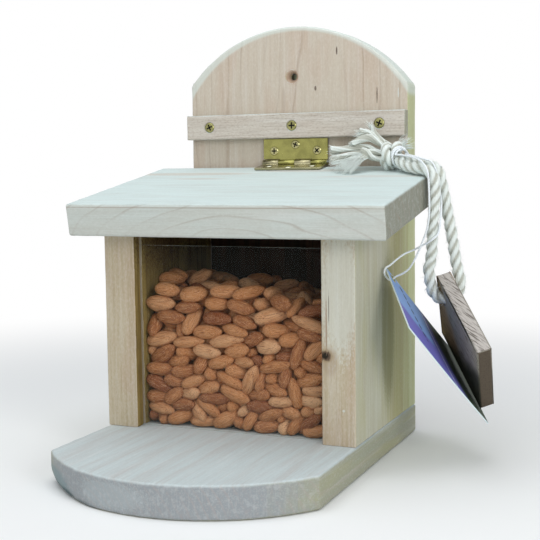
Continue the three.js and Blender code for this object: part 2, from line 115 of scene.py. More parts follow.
class FeederSizes(bpy.types.PropertyGroup):
    """Sizes that a user of the feeder may change"""

    board_arris: size_property("Board arris", "Rounding of each side of the thick boards' arrises", 0.6)
    small_arris: size_property("Small arris", "Rounding of each side of the thin boards' arrises", 0.3)
    metal_arris: size_property("Metal arris", "Rounding of the hinge's edges", 0.12)
    rope: size_property("Rope", "Diameter of the rope", 6.0)
    rope_lay: size_property("Rope lay", "Length of one turn of the rope's strands", 18.5)
    string: size_property("String", "Diameter of the card's string", 1.1)
    nut_length: size_property("Nut length", "Length of an ordinary nut", 18.4)
    nut_width: size_property("Nut width", "Width of an ordinary nut", 8.4)
    fibre: size_property("Fibre", "Thickness of one loose fibre of the rope", 0.26)
    card_bend: size_property("Card bend", "How far the card's middle stands proud of its edges", 1.1)


class FeederColours(bpy.types.PropertyGroup):
    """Colours that a user of the feeder may change"""

    back_wood: colour_property("Back board", "Sanded pine of the back board", "#C9BEAE")
    back_line: colour_property("Back board's rings", "Latewood lines of the back board", "#9C8470")
    back_blotch: colour_property("Back board's heart", "Warmer patches of the back board", "#C0A692")
    back_arris_tone: colour_property("Back board's arris", "Pale sanded edge of the back board", "#D5DED8")
    back_side: colour_property("Back board's side", "Greener sawn side of the back board", "#BDC296")
    side_wood: colour_property("Front edges", "Pine on the front edges of the sides", "#C2B69E")
    side_line: colour_property("Front edges' rings", "Latewood lines of the front edges", "#9F8C6C")
    side_blotch: colour_property("Front edges' patches", "Pinker patches of the front edges", "#B99F8A")
    panel_wood: colour_property("Side panel", "Outer face of the side panels", "#BCBBA8")
    panel_olive: colour_property("Side panel's rear", "Greener wood at the side panels' rear", "#B0AC74")
    # Partly the wood's own dark olive heart, partly painted shadow of the card
    panel_deep: colour_property("Side panel's heart", "Dark olive heartwood of the side panels", "#75723F")
    # Painted shade: the inside of the box, darker than its wood, and darkest on the rear wall behind the nuts
    stained: colour_property("Inner faces", "Pine darkened by the oil of the nuts", "#9A8650")
    stained_deep: colour_property("Deep inner faces", "The darkest oil stains", "#3A2619")
    # The base's own pine, paler and cooler on top as painted skylight
    base_wood: colour_property("Base top", "Planed pine of the base, pale and cool", "#C2CED0")
    base_line: colour_property("Base streaks", "Soft streaks in the base", "#AFA29C")
    base_end: colour_property("Base end grain", "End grain round the ledge", "#959CA0")
    base_side: colour_property("Base side", "Sawn side of the base", "#9DA08C")
    base_damp: colour_property("Damp end grain", "Teal-grey end grain at the ledge's left", "#6F8A8F")
    base_wane: colour_property("Wane", "Dark rind at the base's rounded corner", "#3E5054")
    # The lid's own pine, paler and cooler on top as painted skylight
    lid_wood: colour_property("Lid top", "Planed pine of the lid, pale and cool", "#CDDCDB")
    lid_front: colour_property("Lid front", "Sawn front edge of the lid", "#C5C9C2")
    lid_line: colour_property("Lid rings", "Latewood lines of the lid", "#94806F")
    lid_end: colour_property("Lid end", "End grain of the lid", "#8C8F82")
    batten_wood: colour_property("Batten", "Sawn pine of the batten", "#CFC8BD")
    batten_line: colour_property("Batten's rings", "Fine dark flecks of the batten", "#94806F")
    resin: colour_property("Resin", "Resin pockets, knots and cracks", "#4A332B")
    brass: colour_property("Brass", "Polished brass plating of the hinge", "#A09D5E")
    worn_brass: colour_property("Worn brass", "Paler plating of the hinge's lid leaf and pin", "#ABA584")
    screw_brass: colour_property("Screw brass", "Paler plating of the hinge's screws", "#B9B482")
    yellow_zinc: colour_property("Yellow zinc", "Yellow zinc plating of the screws", "#A3A06C")
    nickel: colour_property("Nickel", "Pale plating of the lid's hinge screws", "#C4C2AE")
    # Painted shade in the screws' recesses and behind the nuts; also the dark core of the stile's knot
    recess: colour_property("Recess", "Dark grease in the screws' recesses", "#1C1A12")
    nut_dark: colour_property("Dark nuts", "Skin of the darkest nuts", "#7E4525")
    nut_mid: colour_property("Nuts", "Skin of an ordinary nut", "#BA7E4E")
    nut_light: colour_property("Light nuts", "Skin of the palest nuts", "#D8AA80")
    acrylic: colour_property("Acrylic", "Dust and edge glow of the clear sheet", "#D5E2DE")
    cotton: colour_property("Cotton", "Yarns of the rope", "#E9F0EC")
    cotton_shade: colour_property("Cotton grooves", "Dirt and shade between the yarns", "#B2B3A6")
    thread: colour_property("Thread", "Smooth white thread of the card", "#F2F8FD")
    tag_face: colour_property("Tag face", "Weathered face of the wooden tag", "#9A968A")
    tag_top: colour_property("Tag edge", "Sawn edge of the wooden tag", "#C0BAB4")
    tag_line: colour_property("Tag streaks", "Dark streaks of the wooden tag", "#453A32")
    tag_brown: colour_property("Tag heart", "Browner corner of the wooden tag", "#A98B68")
    tag_damp: colour_property("Tag damp", "Dark green damp foot of the wooden tag", "#2B3228")
    tag_end: colour_property("Tag end grain", "End grain of the wooden tag", "#574D40")
    card_sky: colour_property("Card top", "Light blue print", "#86A9DF")
    card_dusk: colour_property("Card corner", "Deep purple print", "#7370BE")
    card_leaf: colour_property("Card foot", "Dark green print", "#2B3A26")
    card_sun: colour_property("Card light", "Yellow-green print", "#A9B03A")
    card_sprig: colour_property("Card sprig", "Dark slate print", "#2E3D55")
    card_edge: colour_property("Card edge", "Bare white edge of the card", "#DDEBEE")
    floor: colour_property("Floor", "Plain pale floor", "#F4F5F5")


def colours():
    """The feeder's colours, each with an alpha of 1."""
    group = bpy.context.scene.feeder_colours
    return {name: (*getattr(group, name), 1.0) for name in FeederColours.__annotations__}


def sizes():
    return bpy.context.scene.feeder_sizes


def add(tree, kind, inputs=None, stops=None, **settings):
    """Adds a node with its settings and, for a ramp, its stops, and sets or links its inputs."""
    node = tree.nodes.new(kind)
    for name, value in settings.items():
        setattr(node, name, value)
    for place, (position, colour) in enumerate(stops or ()):
        elements = node.color_ramp.elements
        stop = elements[place] if place < 2 else elements.new(position)
        stop.position, stop.color = position, colour
    for key, value in (inputs or {}).items():
        if isinstance(key, int):
            socket = node.inputs[key]
        else:
            socket = next(s for s in node.inputs if key in (s.identifier, s.name))
        if isinstance(value, bpy.types.Node):
            value = next(s for s in value.outputs if s.enabled)
        if isinstance(value, bpy.types.NodeSocket):
            tree.links.new(value, socket)
        else:
            socket.default_value = value
    return node


def new_material(name):
    """An empty material, its tree and the tree's output node."""
    material = bpy.data.materials.new(name)
    material.use_nodes = True
    material.node_tree.nodes.clear()
    return material, material.node_tree, add(material.node_tree, "ShaderNodeOutputMaterial")


def grey(share):
    return (share, share, share, 1.0)


def painted(tree, ground, layers):
    """The ground tone under others, each laid on up to its share where its pattern has come from low to high."""
    for pattern, low, high, share, tone in layers:
        limits = {"Value": pattern, "From Min": low, "From Max": high, "To Max": share}
        amount = add(tree, "ShaderNodeMapRange", limits, interpolation_type="SMOOTHSTEP")
        both = {"Factor_Float": amount, "A_Color": ground, "B_Color": tone}
        ground = add(tree, "ShaderNodeMix", both, data_type="RGBA")
    return ground


# Mesh helpers
WELD = 1e-6
FLAT_ANGLE = math.radians(0.4)
SHARP_ANGLE = math.radians(30)
LONG_EDGE = 2.2 * MM
EDGE_STEP = 4.0 * MM
BROAD_FACE = 60 * MM * MM
ARRIS_SEGMENTS = 3


def merged_copy(node):
    """A CAD node's mesh with its triangles joined and its flat faces whole."""
    mesh = bmesh.new()
    mesh.from_mesh(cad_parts[node].data)
    bmesh.ops.remove_doubles(mesh, verts=mesh.verts, dist=WELD)
    bmesh.ops.dissolve_limit(mesh, angle_limit=FLAT_ANGLE, verts=mesh.verts, edges=mesh.edges)
    return mesh


def split_evenly(edge, step):
    """Halves an edge until no part is longer than step."""
    parts = [edge]
    while parts[0].calc_length() > step:
        parts = [part for whole in parts for part in (whole, halved(whole))]
    return parts


def halved(edge):
    return bmesh.utils.edge_split(edge, edge.verts[0], 0.5)[0]


def round_edges(mesh, width, waver=0.0, waver_size=6 * MM, picked=None, shortest=LONG_EDGE):
    """Rounds the long outer edges, which waver a little within the broad faces, as sanded wood does.

    Returns the arris's own vertices, which touch no broad face.
    """
    chosen = [
        edge
        for edge in mesh.edges
        if edge.is_manifold
        and edge.is_convex
        and edge.calc_face_angle() > SHARP_ANGLE
        and edge.calc_length() > shortest
        and (picked is None or picked(edge))
    ]
    if waver:
        chosen = [part for edge in chosen for part in split_evenly(edge, EDGE_STEP)]
    made = bmesh.ops.bevel(
        mesh,
        geom=chosen,
        offset=width,
        offset_type="OFFSET",
        segments=ARRIS_SEGMENTS,
        profile=0.5,
        affect="EDGES",
        clamp_overlap=False,
    )
    mesh.normal_update()
    broad = {face for face in mesh.faces if face.calc_area() > BROAD_FACE}
    for vertex in made["verts"]:
        move = noise.noise_vector(vertex.co / waver_size) * waver
        for face in broad.intersection(vertex.link_faces):
            move -= face.normal * move.dot(face.normal)
        vertex.co += move
    return [vertex for vertex in made["verts"] if broad.isdisjoint(vertex.link_faces)]


def new_object(name, mesh, *materials):
    """An object of a bmesh, smooth, with each face's direction kept as the attribute facing."""
    facing = mesh.faces.layers.float_vector.new("facing")
    mesh.normal_update()
    for face in mesh.faces:
        face.smooth = True
        face[facing] = face.normal
    data = bpy.data.meshes.new(name)
    mesh.to_mesh(data)
    mesh.free()
    for material in materials:
        data.materials.append(material)
    made = bpy.data.objects.new(name, data)
    bpy.context.scene.collection.objects.link(made)
    return made


def board_object(name, mesh, *materials):
    """As new_object, shaded so that the flat faces stay flat."""
    made = new_object(name, mesh, *materials)
    made.modifiers.new("Flat faces", "WEIGHTED_NORMAL").keep_sharp = True
    return made


def stands_for(piece, body, slot, *nodes):
    """The piece rides on the body and replaces the CAD nodes; the slot is not used."""
    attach(piece, body)
    if nodes:
        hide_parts(*nodes)
    return piece


def applied(made):
    """The object's mesh with its modifiers in it, as a plain object."""
    evaluated = made.evaluated_get(bpy.context.evaluated_depsgraph_get())
    data = bpy.data.meshes.new_from_object(evaluated)
    made.modifiers.clear()
    made.data = data
    return made


# Routes and tubes
def smooth_route(points, step=ROUTE_STEP):
    """Points at even steps along the centripetal curve through points, all in millimetres."""
    points = np.asarray(points, float)
    ends = [2 * points[0] - points[1], 2 * points[-1] - points[-2]]
    padded = np.vstack([ends[0], points, ends[1]])
    share = np.linspace(0, 1, 24, endpoint=False)[:, None]
    curve = []
    for before, start, end, after in zip(padded, padded[1:], padded[2:], padded[3:]):
        gaps = [math.sqrt(np.linalg.norm(b - a)) for a, b in ((before, start), (start, end), (end, after))]
        leave = (start - before) / gaps[0] - (end - before) / (gaps[0] + gaps[1]) + (end - start) / gaps[1]
        arrive = (end - start) / gaps[1] - (after - start) / (gaps[1] + gaps[2]) + (after - end) / gaps[2]
        leave, arrive = leave * gaps[1], arrive * gaps[1]
        square = -3 * start + 3 * end - 2 * leave - arrive
        cube = 2 * start - 2 * end + leave + arrive
        curve.append(start + leave * share + square * share**2 + cube * share**3)
    curve = np.vstack([*curve, points[-1:]])
    return evenly(curve, step)


def evenly(curve, step):
    """The same curve in even steps."""
    lengths = np.r_[0, np.cumsum(np.linalg.norm(np.diff(curve, axis=0), axis=1))]
    count = max(2, round(lengths[-1] / step) + 1)
    spots = np.linspace(0, lengths[-1], count)
    return np.stack([np.interp(spots, lengths, curve[:, axis]) for axis in range(3)], axis=1)


def side_frames(points):
    """For each point the curve's direction and two directions across it, turned as little as possible."""
    ahead = np.gradient(points, axis=0)
    ahead /= np.linalg.norm(ahead, axis=1)[:, None]
    first = np.cross(ahead[0], (0.31, 0.52, 0.79))
    across = [first / np.linalg.norm(first)]
    for direction in ahead[1:]:
        turned = across[-1] - direction * np.dot(across[-1], direction)
        across.append(turned / np.linalg.norm(turned))
    across = np.array(across)
    return ahead, across, np.cross(ahead, across)


def sweep(mesh, points, outline, sides, ragged=0.0, seed=0):
    """Adds a closed tube along points in millimetres; outline(along, around) gives its radius."""
    ahead, across, third = side_frames(points)
    along = np.r_[0, np.cumsum(np.linalg.norm(np.diff(points, axis=0), axis=1))]
    around = np.linspace(0, 2 * math.pi, sides, endpoint=False)
    radius = outline(along[:, None], around[None, :]) * np.ones((len(points), sides))
    ring = np.cos(around)[None, :, None] * across[:, None] + np.sin(around)[None, :, None] * third[:, None]
    places = points[:, None] + radius[..., None] * ring
    if ragged:
        pull = np.random.default_rng(seed).uniform(-ragged, ragged, sides)
        places[-1] += pull[:, None] * ahead[-1]
    groove = mesh.verts.layers.float.get("groove") or mesh.verts.layers.float.new("groove")
    deepest = radius.max(axis=1)[:, None]
    rows = []
    for row, depth in zip(places * MM, 1 - radius / deepest):
        rows.append([mesh.verts.new(place) for place in row])
        for vertex, value in zip(rows[-1], depth):
            vertex[groove] = value
    for row, following in zip(rows, rows[1:]):
        for place in range(sides):
            after = (place + 1) % sides
            mesh.faces.new((row[place], row[after], following[after], following[place]))
    for row, end, flip in ((rows[0], places[0], True), (rows[-1], places[-1], False)):
        middle = mesh.verts.new(end.mean(axis=0) * MM)
        for place in range(sides):
            pair = (row[place], row[(place + 1) % sides])
            mesh.faces.new((*(reversed(pair) if flip else pair), middle))
    return places


def laid_outline(radius, lay, strands=3, lobe_share=0.58, yarns=0, yarn_share=0.035, start=0.0):
    """The outline of a laid rope: round strands that turn once to the right in each lay."""
    centre, lobe = radius * (1 - lobe_share), radius * lobe_share
    share = 2 * math.pi / strands

    def outline(along, around):
        turned = around - 2 * math.pi * along / lay + start
        aside = (turned + share / 2) % share - share / 2
        edge = centre * np.cos(aside) + np.sqrt(lobe**2 - (centre * np.sin(aside)) ** 2)
        ridge = np.cos(yarns * (around + start) + 0.35 * turned) if yarns else 0.0
        return edge + radius * yarn_share * ridge

    return outline


def in_box(points):
    """Points in the box's own millimetres, moved to the feeder's."""
    return np.asarray(points, float) + np.array(BOX_SHIFT)


def in_hangings(points):
    return in_box(points) + np.array(HANGING_SHIFT)


def plane_turn(along, across, up):
    """The turn that puts X, Y and Z in these directions."""
    return Matrix((along, across, up)).transposed().to_euler()


# Wood
ALONG_X = (0.0, 0.0, 0.0)
ALONG_Y = (0.0, 0.0, math.radians(90))
ALONG_Z = (0.0, math.radians(-90), 0.0)
GRAIN_AXES = {ALONG_X: (1, 0, 0), ALONG_Y: (0, 1, 0), ALONG_Z: (0, 0, 1)}


def pine(name, pith, turn, ring, run, tones, shares, marks=(), bands=(), grain=None, patch=(45, 12), rims=()):
    """Planed softwood: rings about a pith, fibres along the grain, its own tone at its ends, and painted skylight on
    faces that look up.

    pith is in millimetres, ring and run are the rings' distance across and along the grain, tones are
    wood, line, blotch, top, end and side, and shares say how strongly each pattern shows.
    """
    material, tree, output = new_material(name)
    place = add(tree, "ShaderNodeTexCoord").outputs["Object"]
    inputs = {"Vector": place, "Location": [p * MM for p in pith], "Rotation": turn, "Scale": (MM,) * 3}
    board = add(tree, "ShaderNodeMapping", inputs, vector_type="TEXTURE")
    fields = {}
    for field, size, detail in (
        ("bend", (110, 26, 26), 2.0),
        ("fade", (70, 20, 20), 1.0),
        ("patch", (patch[0], patch[1], patch[1]), 2.0),
        ("streak", (70, 2.6, 2.6), 2.0),
        ("fibre", (18, 0.6, 0.6), 3.0),
        ("speckle", (1.6, 0.7, 0.7), 2.0),
        ("saw", (30, 0.9, 11), 2.0),
    ):
        near = add(tree, "ShaderNodeVectorMath", {0: board, 1: [1 / part for part in size]}, operation="MULTIPLY")
        inputs = {"Vector": near, "Scale": 1.0, "Detail": detail, "Roughness": 0.6}
        fields[field] = add(tree, "ShaderNodeTexNoise", inputs)

    bend = shares.get("bend", 5.0)
    offset = {0: fields["bend"].outputs["Color"], 1: (0.0, bend, bend), 2: board}
    bent = add(tree, "ShaderNodeVectorMath", offset, operation="MULTIPLY_ADD")
    pitch = add(tree, "ShaderNodeVectorMath", {0: bent, 1: (1 / run, 1 / ring, 1 / ring)}, operation="MULTIPLY")
    count = add(tree, "ShaderNodeVectorMath", {0: pitch}, operation="LENGTH").outputs["Value"]
    phase = add(tree, "ShaderNodeMath", {0: count}, operation="FRACT")
    stops = [(0.0, grey(0)), (1.0, grey(0)), (shares.get("line_start", 0.62), grey(0)), (0.93, grey(1))]
    late = add(tree, "ShaderNodeValToRGB", {"Fac": phase}, stops).outputs["Color"]

    facing = add(tree, "ShaderNodeAttribute", attribute_name="facing").outputs["Vector"]
    sides = {}
    for side, axis in (("end", grain or GRAIN_AXES[turn]), ("top", (0, 0, 1)), ("side", (1, 0, 0))):
        sides[side] = add(tree, "ShaderNodeVectorMath", {0: facing, 1: axis}, operation="DOT_PRODUCT").outputs["Value"]
    ends = add(tree, "ShaderNodeMath", {0: sides["end"]}, operation="ABSOLUTE")
    # Painted skylight: the rings fade on faces that look up
    limits = {"Value": sides["top"], "From Min": 0.25, "From Max": 0.85}
    limits.update({"To Min": shares.get("line", 0.5), "To Max": shares.get("top_line", 0.2)})
    strength = add(tree, "ShaderNodeMapRange", limits)
    limits = {"Value": fields["fade"], "From Min": 0.36, "From Max": 0.62, "To Min": 0.15}
    fade = add(tree, "ShaderNodeMapRange", limits)
    line_share = add(tree, "ShaderNodeMath", {0: strength, 1: fade}, operation="MULTIPLY")

    wood = painted(tree, tones["wood"], [(fields["patch"], 0.42, 0.68, shares.get("blotch", 0.5), tones["blotch"])])
    width = add(tree, "ShaderNodeSeparateXYZ", {0: place}).outputs["Y"]
    wood = painted(tree, wood, [(width, start * MM, stop * MM, share, tone) for start, stop, share, tone in bands])
    # Painted skylight: faces that look up take the board's top tone, paler and cooler where the sky lights them
    painted_skylight_top = painted(tree, tones["top"], [(fields["patch"], 0.42, 0.68, shares.get("top_blotch", 0.25), tones["line"])])
    sawn = shares.get("saw", 0.25)
    end = painted(tree, tones["end"], [(fields["saw"], 0.5, 0.7, sawn, tones["line"]), (fields["saw"], 0.5, 0.3, sawn, grey(0.7))])
    layers = [
        (ends, 0.45, 0.85, 1.0, end),
        (sides["side"], 0.5, 0.85, float("side" in tones), tones.get("side", grey(1))),
        (sides["top"], 0.25, 0.85, 1.0, painted_skylight_top),
        (fields["streak"], 0.5, 0.72, shares.get("streak", 0.2), tones["line"]),
        (fields["streak"], 0.5, 0.28, shares.get("pale", 0.15), grey(0.8)),
        (late, 0.0, 1.0, line_share, tones["line"]),
        (fields["fibre"], 0.42, 0.72, shares.get("fibre", 0.3), tones["line"]),
        (fields["speckle"], 0.5, 0.75, shares.get("speckle", 0.2), tones["line"]),
        (fields["speckle"], 0.5, 0.3, shares.get("glint", 0.12), grey(0.8)),
    ]
    for centre, radii, share, tone in marks:
        apart = add(tree, "ShaderNodeVectorMath", {0: place, 1: [part * MM for part in centre]}, operation="SUBTRACT")
        inputs = {0: apart, 1: [1 / part / MM for part in radii]}
        scaled = add(tree, "ShaderNodeVectorMath", inputs, operation="MULTIPLY")
        reach = add(tree, "ShaderNodeVectorMath", {0: scaled}, operation="LENGTH").outputs["Value"]
        ragged = add(tree, "ShaderNodeMath", {0: fields["speckle"], 1: 0.9, 2: reach}, operation="MULTIPLY_ADD")
        layers.append((ragged, 1.55, 1.1, share, tone))
    for centre, start, stop, share, tone in rims:
        apart = add(tree, "ShaderNodeVectorMath", {0: place, 1: [part * MM for part in centre]}, operation="SUBTRACT")
        upper = add(tree, "ShaderNodeVectorMath", {0: apart, 1: (-1.0, -1.0, 0.0)}, operation="MAXIMUM")
        flat = add(tree, "ShaderNodeVectorMath", {0: upper, 1: (1 / MM, 0.0, 1 / MM)}, operation="MULTIPLY")
        reach = add(tree, "ShaderNodeVectorMath", {0: flat}, operation="LENGTH").outputs["Value"]
        layers.append((reach, start, stop, share, tone))
    wood = painted(tree, wood, layers)

    relief = add(tree, "ShaderNodeMath", {0: late, 1: 0.35, 2: fields["fibre"]}, operation="MULTIPLY_ADD")
    normal = add(tree, "ShaderNodeBump", {"Height": relief, "Strength": shares.get("bump", 0.25), "Distance": 0.25 * MM})
    limits = {"Value": fields["fibre"], "From Min": 0.3, "From Max": 0.7, "To Min": 0.6, "To Max": 0.82}
    rough = add(tree, "ShaderNodeMapRange", limits)
    shader = add(tree, "ShaderNodeBsdfPrincipled", {"Base Color": wood, "Roughness": rough, "Normal": normal})
    shader.inputs["Specular IOR Level"].default_value = 0.2
    tree.links.new(shader.outputs[0], output.inputs[0])
    return material


def back_pine():
    """Flat-sawn sanded pine: even beige with few long rings and three resin marks, and pale where its edge is sanded."""
    c = colours()
    tones = {
        "wood": c["back_wood"],
        "line": c["back_line"],
        "blotch": c["back_blotch"],
        "top": c["back_arris_tone"],
        "end": c["back_arris_tone"],
        "side": c["back_side"],
    }
    marks = [
        ((24.6, 82.6, 217.5), (0.5, 1.5, 2.6), 0.85, c["resin"]),
        ((48.2, 82.6, 192.0), (0.35, 1.5, 5.0), 0.85, c["resin"]),
        ((11.7, 82.6, 197.0), (0.7, 1.5, 1.6), 0.75, c["resin"]),
        ((-8.0, 82.6, 190.5), (1.3, 1.5, 9.0), 0.25, c["back_line"]),
        ((-2.65, 84.2, 204.2), (5.6, 3.0, 5.6), 0.9, c["back_blotch"]),
        ((-2.65, 84.2, 204.2), (4.4, 2.4, 4.4), 0.6, c["back_line"]),
        ((-2.65, 88.5, 204.2), (2.6, 3.4, 2.6), 0.9, c["resin"]),
        ((60.4, 82.6, 193.0), (0.35, 1.5, 3.2), 0.5, c["card_edge"]),
    ]
    shares = {"line": 0.4, "blotch": 0.35, "streak": 0.1, "fibre": 0.12, "speckle": 0.1, "bend": 20.0, "line_start": 0.82}
    rims = [(ARCH_CENTRE, ARCH_RADIUS - 2.4, ARCH_RADIUS - 0.6, 0.65, c["back_arris_tone"])]
    return pine("Sanded pine, flat-sawn", (4, 90, 104), ALONG_Z, 10.0, 75, tones, shares, marks, rims=rims)


def side_pine():
    """Rift-sawn pine with close fine rings, tan and slightly rough, with a knot and a crack on the right."""
    c = colours()
    tones = {"wood": c["side_wood"], "line": c["side_line"], "blotch": c["side_blotch"], "top": c["side_wood"], "end": c["side_blotch"]}
    marks = [
        ((58.0, -9.2, 92.0), (12.0, 6.0, 36.0), 0.45, c["back_arris_tone"]),
        ((52.6, -9.2, 58.0), (4.5, 3.0, 8.0), 0.35, c["back_line"]),
        ((50.5, -9.2, 60.7), (4.6, 3.0, 3.9), 0.75, c["side_line"]),
        ((50.5, -9.2, 60.7), (3.3, 3.0, 2.8), 0.85, c["resin"]),
        ((50.4, -9.2, 60.7), (1.9, 3.0, 1.7), 0.95, c["recess"]),
        ((51.0, -9.2, 76.0), (0.45, 2.0, 15.0), 0.8, c["back_line"]),
        ((52.3, -9.2, 84.0), (0.3, 2.0, 9.0), 0.6, c["resin"]),
        ((59.8, -9.2, 34.0), (0.9, 1.0, 0.8), 0.45, c["card_edge"]),
    ]
    shares = {"line": 0.3, "blotch": 0.35, "streak": 0.3, "fibre": 0.3, "speckle": 0.25, "bend": 4.0, "line_start": 0.4}
    return pine("Sawn pine, rift-sawn", (-160, -60, 90), ALONG_Z, 2.6, 120, tones, shares, marks)


def panel_pine():
    """The same pine on the broad outer faces, smooth from the planer, with greener streaks to the rear."""
    c = colours()
    tones = {"wood": c["panel_wood"], "line": c["side_line"], "blotch": c["panel_olive"], "top": c["panel_wood"], "end": c["side_blotch"]}
    shares = {"line": 0.25, "blotch": 0.3, "streak": 0.25, "fibre": 0.15, "speckle": 0.08, "bend": 5.0, "line_start": 0.3}
    # Painted shadow of the card on the panel, over the wood's own dark olive heart
    marks = [((66.1, 44.0, 66.0), (6.0, 12.0, 44.0), 0.55, c["panel_deep"])]
    bands = [(30, 62, 0.75, c["panel_olive"]), (66, 76, 0.55, c["back_side"])]
    return pine("Planed pine, olive", (190, 20, 90), ALONG_Z, 6.0, 200, tones, shares, marks, bands)


def stained_pine():
    """Olive pine of the inner faces, darkened as painted shade of the box's inside: satin, darker in patches, darkest
    high up under the lid.
    """
    c = colours()
    tones = {"wood": c["stained"], "line": c["stained_deep"], "blotch": c["stained_deep"], "top": c["stained"], "end": c["stained"]}
    shares = {"line": 0.3, "blotch": 0.4, "streak": 0.4, "pale": 0.0, "fibre": 0.3, "speckle": 0.2, "glint": 0.0}
    # Painted shade: darkest high up, under the lid
    marks = [((0.0, 36.0, 126.0), (80.0, 90.0, 42.0), 0.93, c["stained_deep"])]
    return pine("Oil-stained pine", (60, 50, 90), ALONG_Z, 5.0, 160, tones, shares, marks)


def rear_wall_painted_shade():
    """Pine behind the nuts, painted black-brown as the shade deep in the box, which gives the box its dark depth."""
    c = colours()
    deep = c["stained_deep"]
    tones = {"wood": deep, "line": c["recess"], "blotch": c["recess"], "top": deep, "end": deep}
    shares = {"blotch": 0.6, "streak": 0.4, "pale": 0.0, "fibre": 0.4, "glint": 0.0}
    return pine("Rear wall pine, painted shade", (0, 90, 90), ALONG_Z, 6.0, 160, tones, shares)


def base_pine():
    """Planed pine with soft streaks towards the ledge, end grain round its arc and a dark wane at one corner."""
    c = colours()
    # Painted skylight: the top takes the paler, cooler base tone
    tones = {"wood": c["base_side"], "line": c["base_line"], "blotch": c["panel_olive"], "top": c["base_wood"], "end": c["base_end"]}
    marks = [
        ((-66.0, -72.0, 4.0), (24.0, 22.0, 8.0), 0.55, c["base_damp"]),
        ((-22.0, -95.0, 8.0), (24.0, 8.0, 7.0), 0.25, c["base_wood"]),
        ((-70.0, -66.0, 1.0), (13.0, 15.0, 5.0), 0.8, c["base_wane"]),
        ((-52.0, -80.0, 0.0), (12.0, 10.0, 4.2), 0.75, c["base_wane"]),
        ((-36.0, -88.0, -1.0), (12.0, 8.0, 3.6), 0.6, c["base_wane"]),
    ]
    shares = {
        "line": 0.35, "top_line": 0.12, "top_blotch": 0.25, "blotch": 0.35, "streak": 0.15,
        "fibre": 0.16, "speckle": 0.1, "bend": 7.0, "saw": 0.11,
    }
    name = "Planed pine, end grain round the ledge"
    return pine(name, (-66, 0, -34), ALONG_Y, 3.6, 150, tones, shares, marks, patch=(80, 9))


def lid_pine():
    """Planed pine, paler and cooler on top as painted skylight; its sawn front edge cuts the rings in long arches."""
    c = colours()
    tones = {"wood": c["lid_front"], "line": c["lid_line"], "blotch": c["lid_wood"], "top": c["lid_wood"], "end": c["lid_end"]}
    turn = (math.radians(LID_TILT), 0.0, 0.0)
    marks = [
        ((-58.0, 58.0, 149.3), (46.0, 5.0, 4.0), 0.4, c["back_blotch"]),
        ((-44.0, 43.0, 147.0), (18.0, 2.6, 3.0), 0.25, c["back_blotch"]),
        ((14.0, 66.0, 150.6), (34.0, 5.0, 4.0), 0.3, c["back_blotch"]),
        ((62.0, 47.0, 147.6), (40.0, 4.0, 4.0), 0.25, c["back_blotch"]),
        ((0.0, -25.8, 133.6), (110.0, 3.0, 0.3), 0.5, c["lid_line"]),
    ]
    shares = {
        "line": 0.4, "top_line": 0.05, "top_blotch": 0.1, "blotch": 0.3, "streak": 0.07,
        "fibre": 0.12, "speckle": 0.08, "bend": 16.0, "line_start": 0.82, "saw": 0.18,
    }
    return pine("Planed pine, painted skylight on top", (14, -22, 112), turn, 7, 15, tones, shares, marks, (), (1, 0, 0), (60, 14))


def batten_pine():
    """Rough-sawn pine strip with short dark flecks along it."""
    c = colours()
    # The batten's top takes the lid's top tone: painted skylight
    tones = {"wood": c["batten_wood"], "line": c["batten_line"], "blotch": c["back_blotch"], "top": c["lid_wood"], "end": c["base_side"]}
    shares = {"line": 0.15, "blotch": 0.15, "streak": 0.15, "fibre": 0.4, "speckle": 0.4, "bend": 4.0, "bump": 0.4}
    return pine("Sawn pine, rough", (0, 130, 165), ALONG_X, 4.0, 300, tones, shares)


# Boards
WANE_START, WANE_END = -30.0, -70.0
WANE_DEPTH, WANE_HEIGHT = 3.8, 8.0
LEDGE_CENTRE = (-5.4, -11.525)
BASE_SLICES = (1.2, 2.6, 4.2, 6.0, 8.0, 10.2, 12.4)


def wane(place):
    """Where a point of the base goes at its rounded, waney left corner."""
    x, y, z = (part / MM for part in place)
    if y > LEDGE_CENTRE[1] - 20:
        return place
    share = min(1.0, max(0.0, (x - WANE_START) / (WANE_END - WANE_START)))
    share = share * share * (3 - 2 * share)
    out = Vector((x - LEDGE_CENTRE[0], y - LEDGE_CENTRE[1]))
    rim = max(0.0, min(1.0, (out.length - 64) / 16))
    low = max(0.0, 1 - z / WANE_HEIGHT)
    lump = 1 + 0.5 * noise.noise(Vector((x, y, z * 1.6)) / 7.0)
    inward = WANE_DEPTH * share * low * low * lump * rim
    out.length = max(1.0, out.length - inward)
    return Vector((LEDGE_CENTRE[0] + out.x, LEDGE_CENTRE[1] + out.y, z)) * MM


def sliced(mesh, axis, *places):
    """Cuts the mesh's faces, without parting them, at places along an axis in millimetres."""
    direction = Vector([float(axis == step) for step in range(3)])
    for place in places:
        everything = [*mesh.verts, *mesh.edges, *mesh.faces]
        spot = direction * place * MM
        bmesh.ops.bisect_plane(mesh, geom=everything, dist=WELD, plane_co=spot, plane_no=direction)


def make_base():
    mesh = merged_copy("base_board")
    round_edges(mesh, sizes().board_arris, 0.22 * MM, 4.5 * MM, shortest=0.8 * MM)
    sliced(mesh, 2, *BASE_SLICES)
    for vertex in mesh.verts:
        vertex.co = wane(vertex.co)
    stands_for(board_object("base", mesh, base_pine()), "box", "pine_cool", "base_board")


# The sides' inner faces take the painted shade of the box's inside from here back, in millimetres
INNER_FRONT = -8.7


